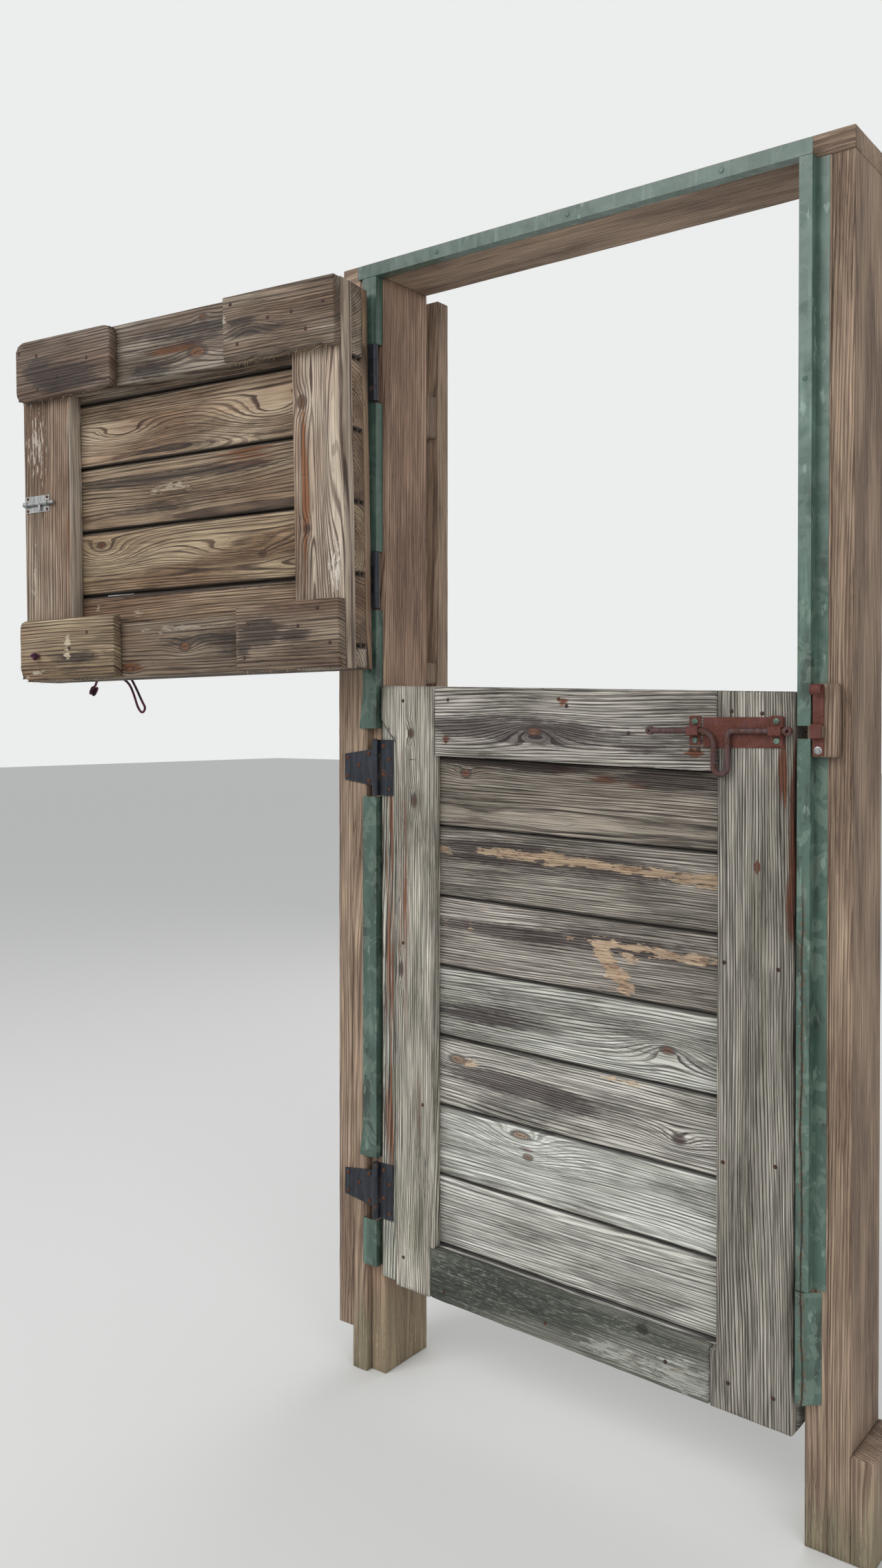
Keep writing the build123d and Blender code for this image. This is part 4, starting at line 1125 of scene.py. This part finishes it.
trim_places = [
    (895, 245), (893, 205), (895, 1340), (895, 1700), (895, 700), (-24, 300), (-24, 950),
    (-24, 1250), (-24, 1650), (150, 2071), (450, 2071), (750, 2071),
]
for name, tree, spots, body, slot, nodes, radius, height, facing, finish, seed in (
    ("hinge_strap_screws", cross_tree, [s for s in frame_spots if s[0] < HALF_WAY],
     "frame", "rusty_steel", ["frame_screws"], 4.2, 2.6, 90, screw_iron, 3),
    ("keeper_screw", hexagon_tree, [s for s in frame_spots if s[0] > HALF_WAY],
     "frame", "dull_steel", ["frame_screws"], 6.8, 2.8, 90, zinc, 2),
    ("bolt_guide_screws", cross_tree, [s for s in lower_spots if s[0] > HALF_WAY],
     "lower_leaf", "green_trim", ["lower_screws"], 5.6, 4.2, 90, painted_screw, 12),
    ("lower_leaf_screws", cross_tree, [s for s in lower_spots if s[0] < HALF_WAY],
     "lower_leaf", "rusty_steel", ["lower_screws"], 4.2, 2.6, 90, screw_iron, 4),
    ("upper_butt_screws", cross_tree, screw_places("upper_screws"),
     "upper_leaf", "rusty_steel", ["upper_screws"], 4.2, 2.6, 90, screw_iron, 5),
    ("barrel_plate_screws", cross_tree, screw_places("upper_screws", inward=True),
     "upper_leaf", "dull_steel", ["upper_screws"], 3.6, 2.2, -90, screw_iron, 6),
    ("lower_leaf_nails", nail_tree, on_face(leaf_nails, -0.3),
     "lower_leaf", "rusty_steel", (), 3.6, 1.1, 90, nail_iron, 7),
    ("cleat_nails", nail_tree, on_face(cleat_nails, 122.6),
     "upper_leaf", "rusty_steel", (), 4.1, 1.6, -90, nail_iron, 8),
    ("trim_screws", hexagon_tree, on_face(trim_places, -6.2),
     "frame", "green_trim", (), 5.5, 1.6, 90, green_trim, 9),
):
    set_out(name, tree, spots, body, slot, nodes, **{
        "Head radius": radius * MM, "Head height": height * MM, "Finish": finish, "Seed": seed,
        "Facing": (math.radians(facing), 0, 0),
    })

frayed = np.random.default_rng(41)
fray_places = []
for left, right, height, count in (
    (10, 268, 1890.5, 46), (594, 866, 1890.5, 26), (592, 868, 1256.5, 40), (10, 250, 1256.5, 34),
):
    for x in frayed.uniform(left, right, count):
        fray_places.append((x, height, frayed.uniform(102, 120)))
set_out(
    "frayed_fibres", splinter_tree(), place(fray_places), "upper_leaf", "upper_timber",
    **{"Length": 0.012, "Thickness": 0.0005, "Finish": frayed_wood, "Seed": 10},
)

# Ironwork and trim keep their own solids
for finish, names in (
    (green_trim, "head_trim hinge_trim_upper hinge_trim_middle hinge_trim_lower "
                 "latch_trim_upper latch_trim_lower"),
    (black_iron, "hinge_straps hinge_pins lower_butts upper_butts"),
    (rusty_iron, "bolt_backplate bolt_guides keeper_strap"),
    (rod_iron, "slide_rod"),
    (zinc, "barrel_plate barrel_bolt"),
):
    for node in names.split():
        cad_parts[node].data.materials.clear()
        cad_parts[node].data.materials.append(finish)

# Floor and light
floor_mesh = bpy.data.meshes.new("floor")
floor_mesh.from_pydata(
    [(-30, -30, 0), (30, -30, 0), (30, 30, 0), (-30, 30, 0)], [], [(0, 1, 2, 3)]
)
floor = new_object("floor", floor_mesh)
floor_mesh.materials.append(Finish("pale floor", 0.9).coat(tint("e9e9e7")))

world = bpy.data.worlds.new("daylight")
bpy.context.scene.world = world
world.use_nodes = True
sky = world.node_tree
background = sky.nodes["Background"]
background.inputs[0].default_value = (0.97, 0.985, 1.0, 1)
background.inputs[1].default_value = 0.54
backdrop = wire(sky, "ShaderNodeBackground", {0: "eceded", 1: 1.0})
rays = {ray.name: ray for ray in wire(sky, "ShaderNodeLightPath", output=slice(None))}
seen = rays["Is Camera Ray"]
for title in ("Is Glossy Ray", "Is Transmission Ray"):
    seen = wire(sky, "ShaderNodeMath", {0: seen, 1: rays[title]}, operation="MAXIMUM")
choice = wire(sky, "ShaderNodeMixShader", {0: seen, 1: background.outputs[0], 2: backdrop})
sky.links.new(choice, sky.nodes["World Output"].inputs[0])
for title, spot, aim, size, power in (
    ("key", (-1.2, -4.2, 4.2), (0.3, 0, 1.1), 3.0, 112),
    ("fill", (3.6, -2.6, 2.4), (0.4, 0, 1.0), 2.5, 34),
    ("back", (-0.5, 4.0, 3.2), (0.4, 0, 1.2), 3.0, 45),
):
    lamp = bpy.data.lights.new(title, "AREA")
    lamp.size = size
    lamp.energy = power
    holder = new_object(title, lamp)
    holder.location = spot
    holder.rotation_euler = (Vector(aim) - Vector(spot)).to_track_quat("-Z", "Y").to_euler()
bpy.context.scene.view_settings.view_transform = "Standard"
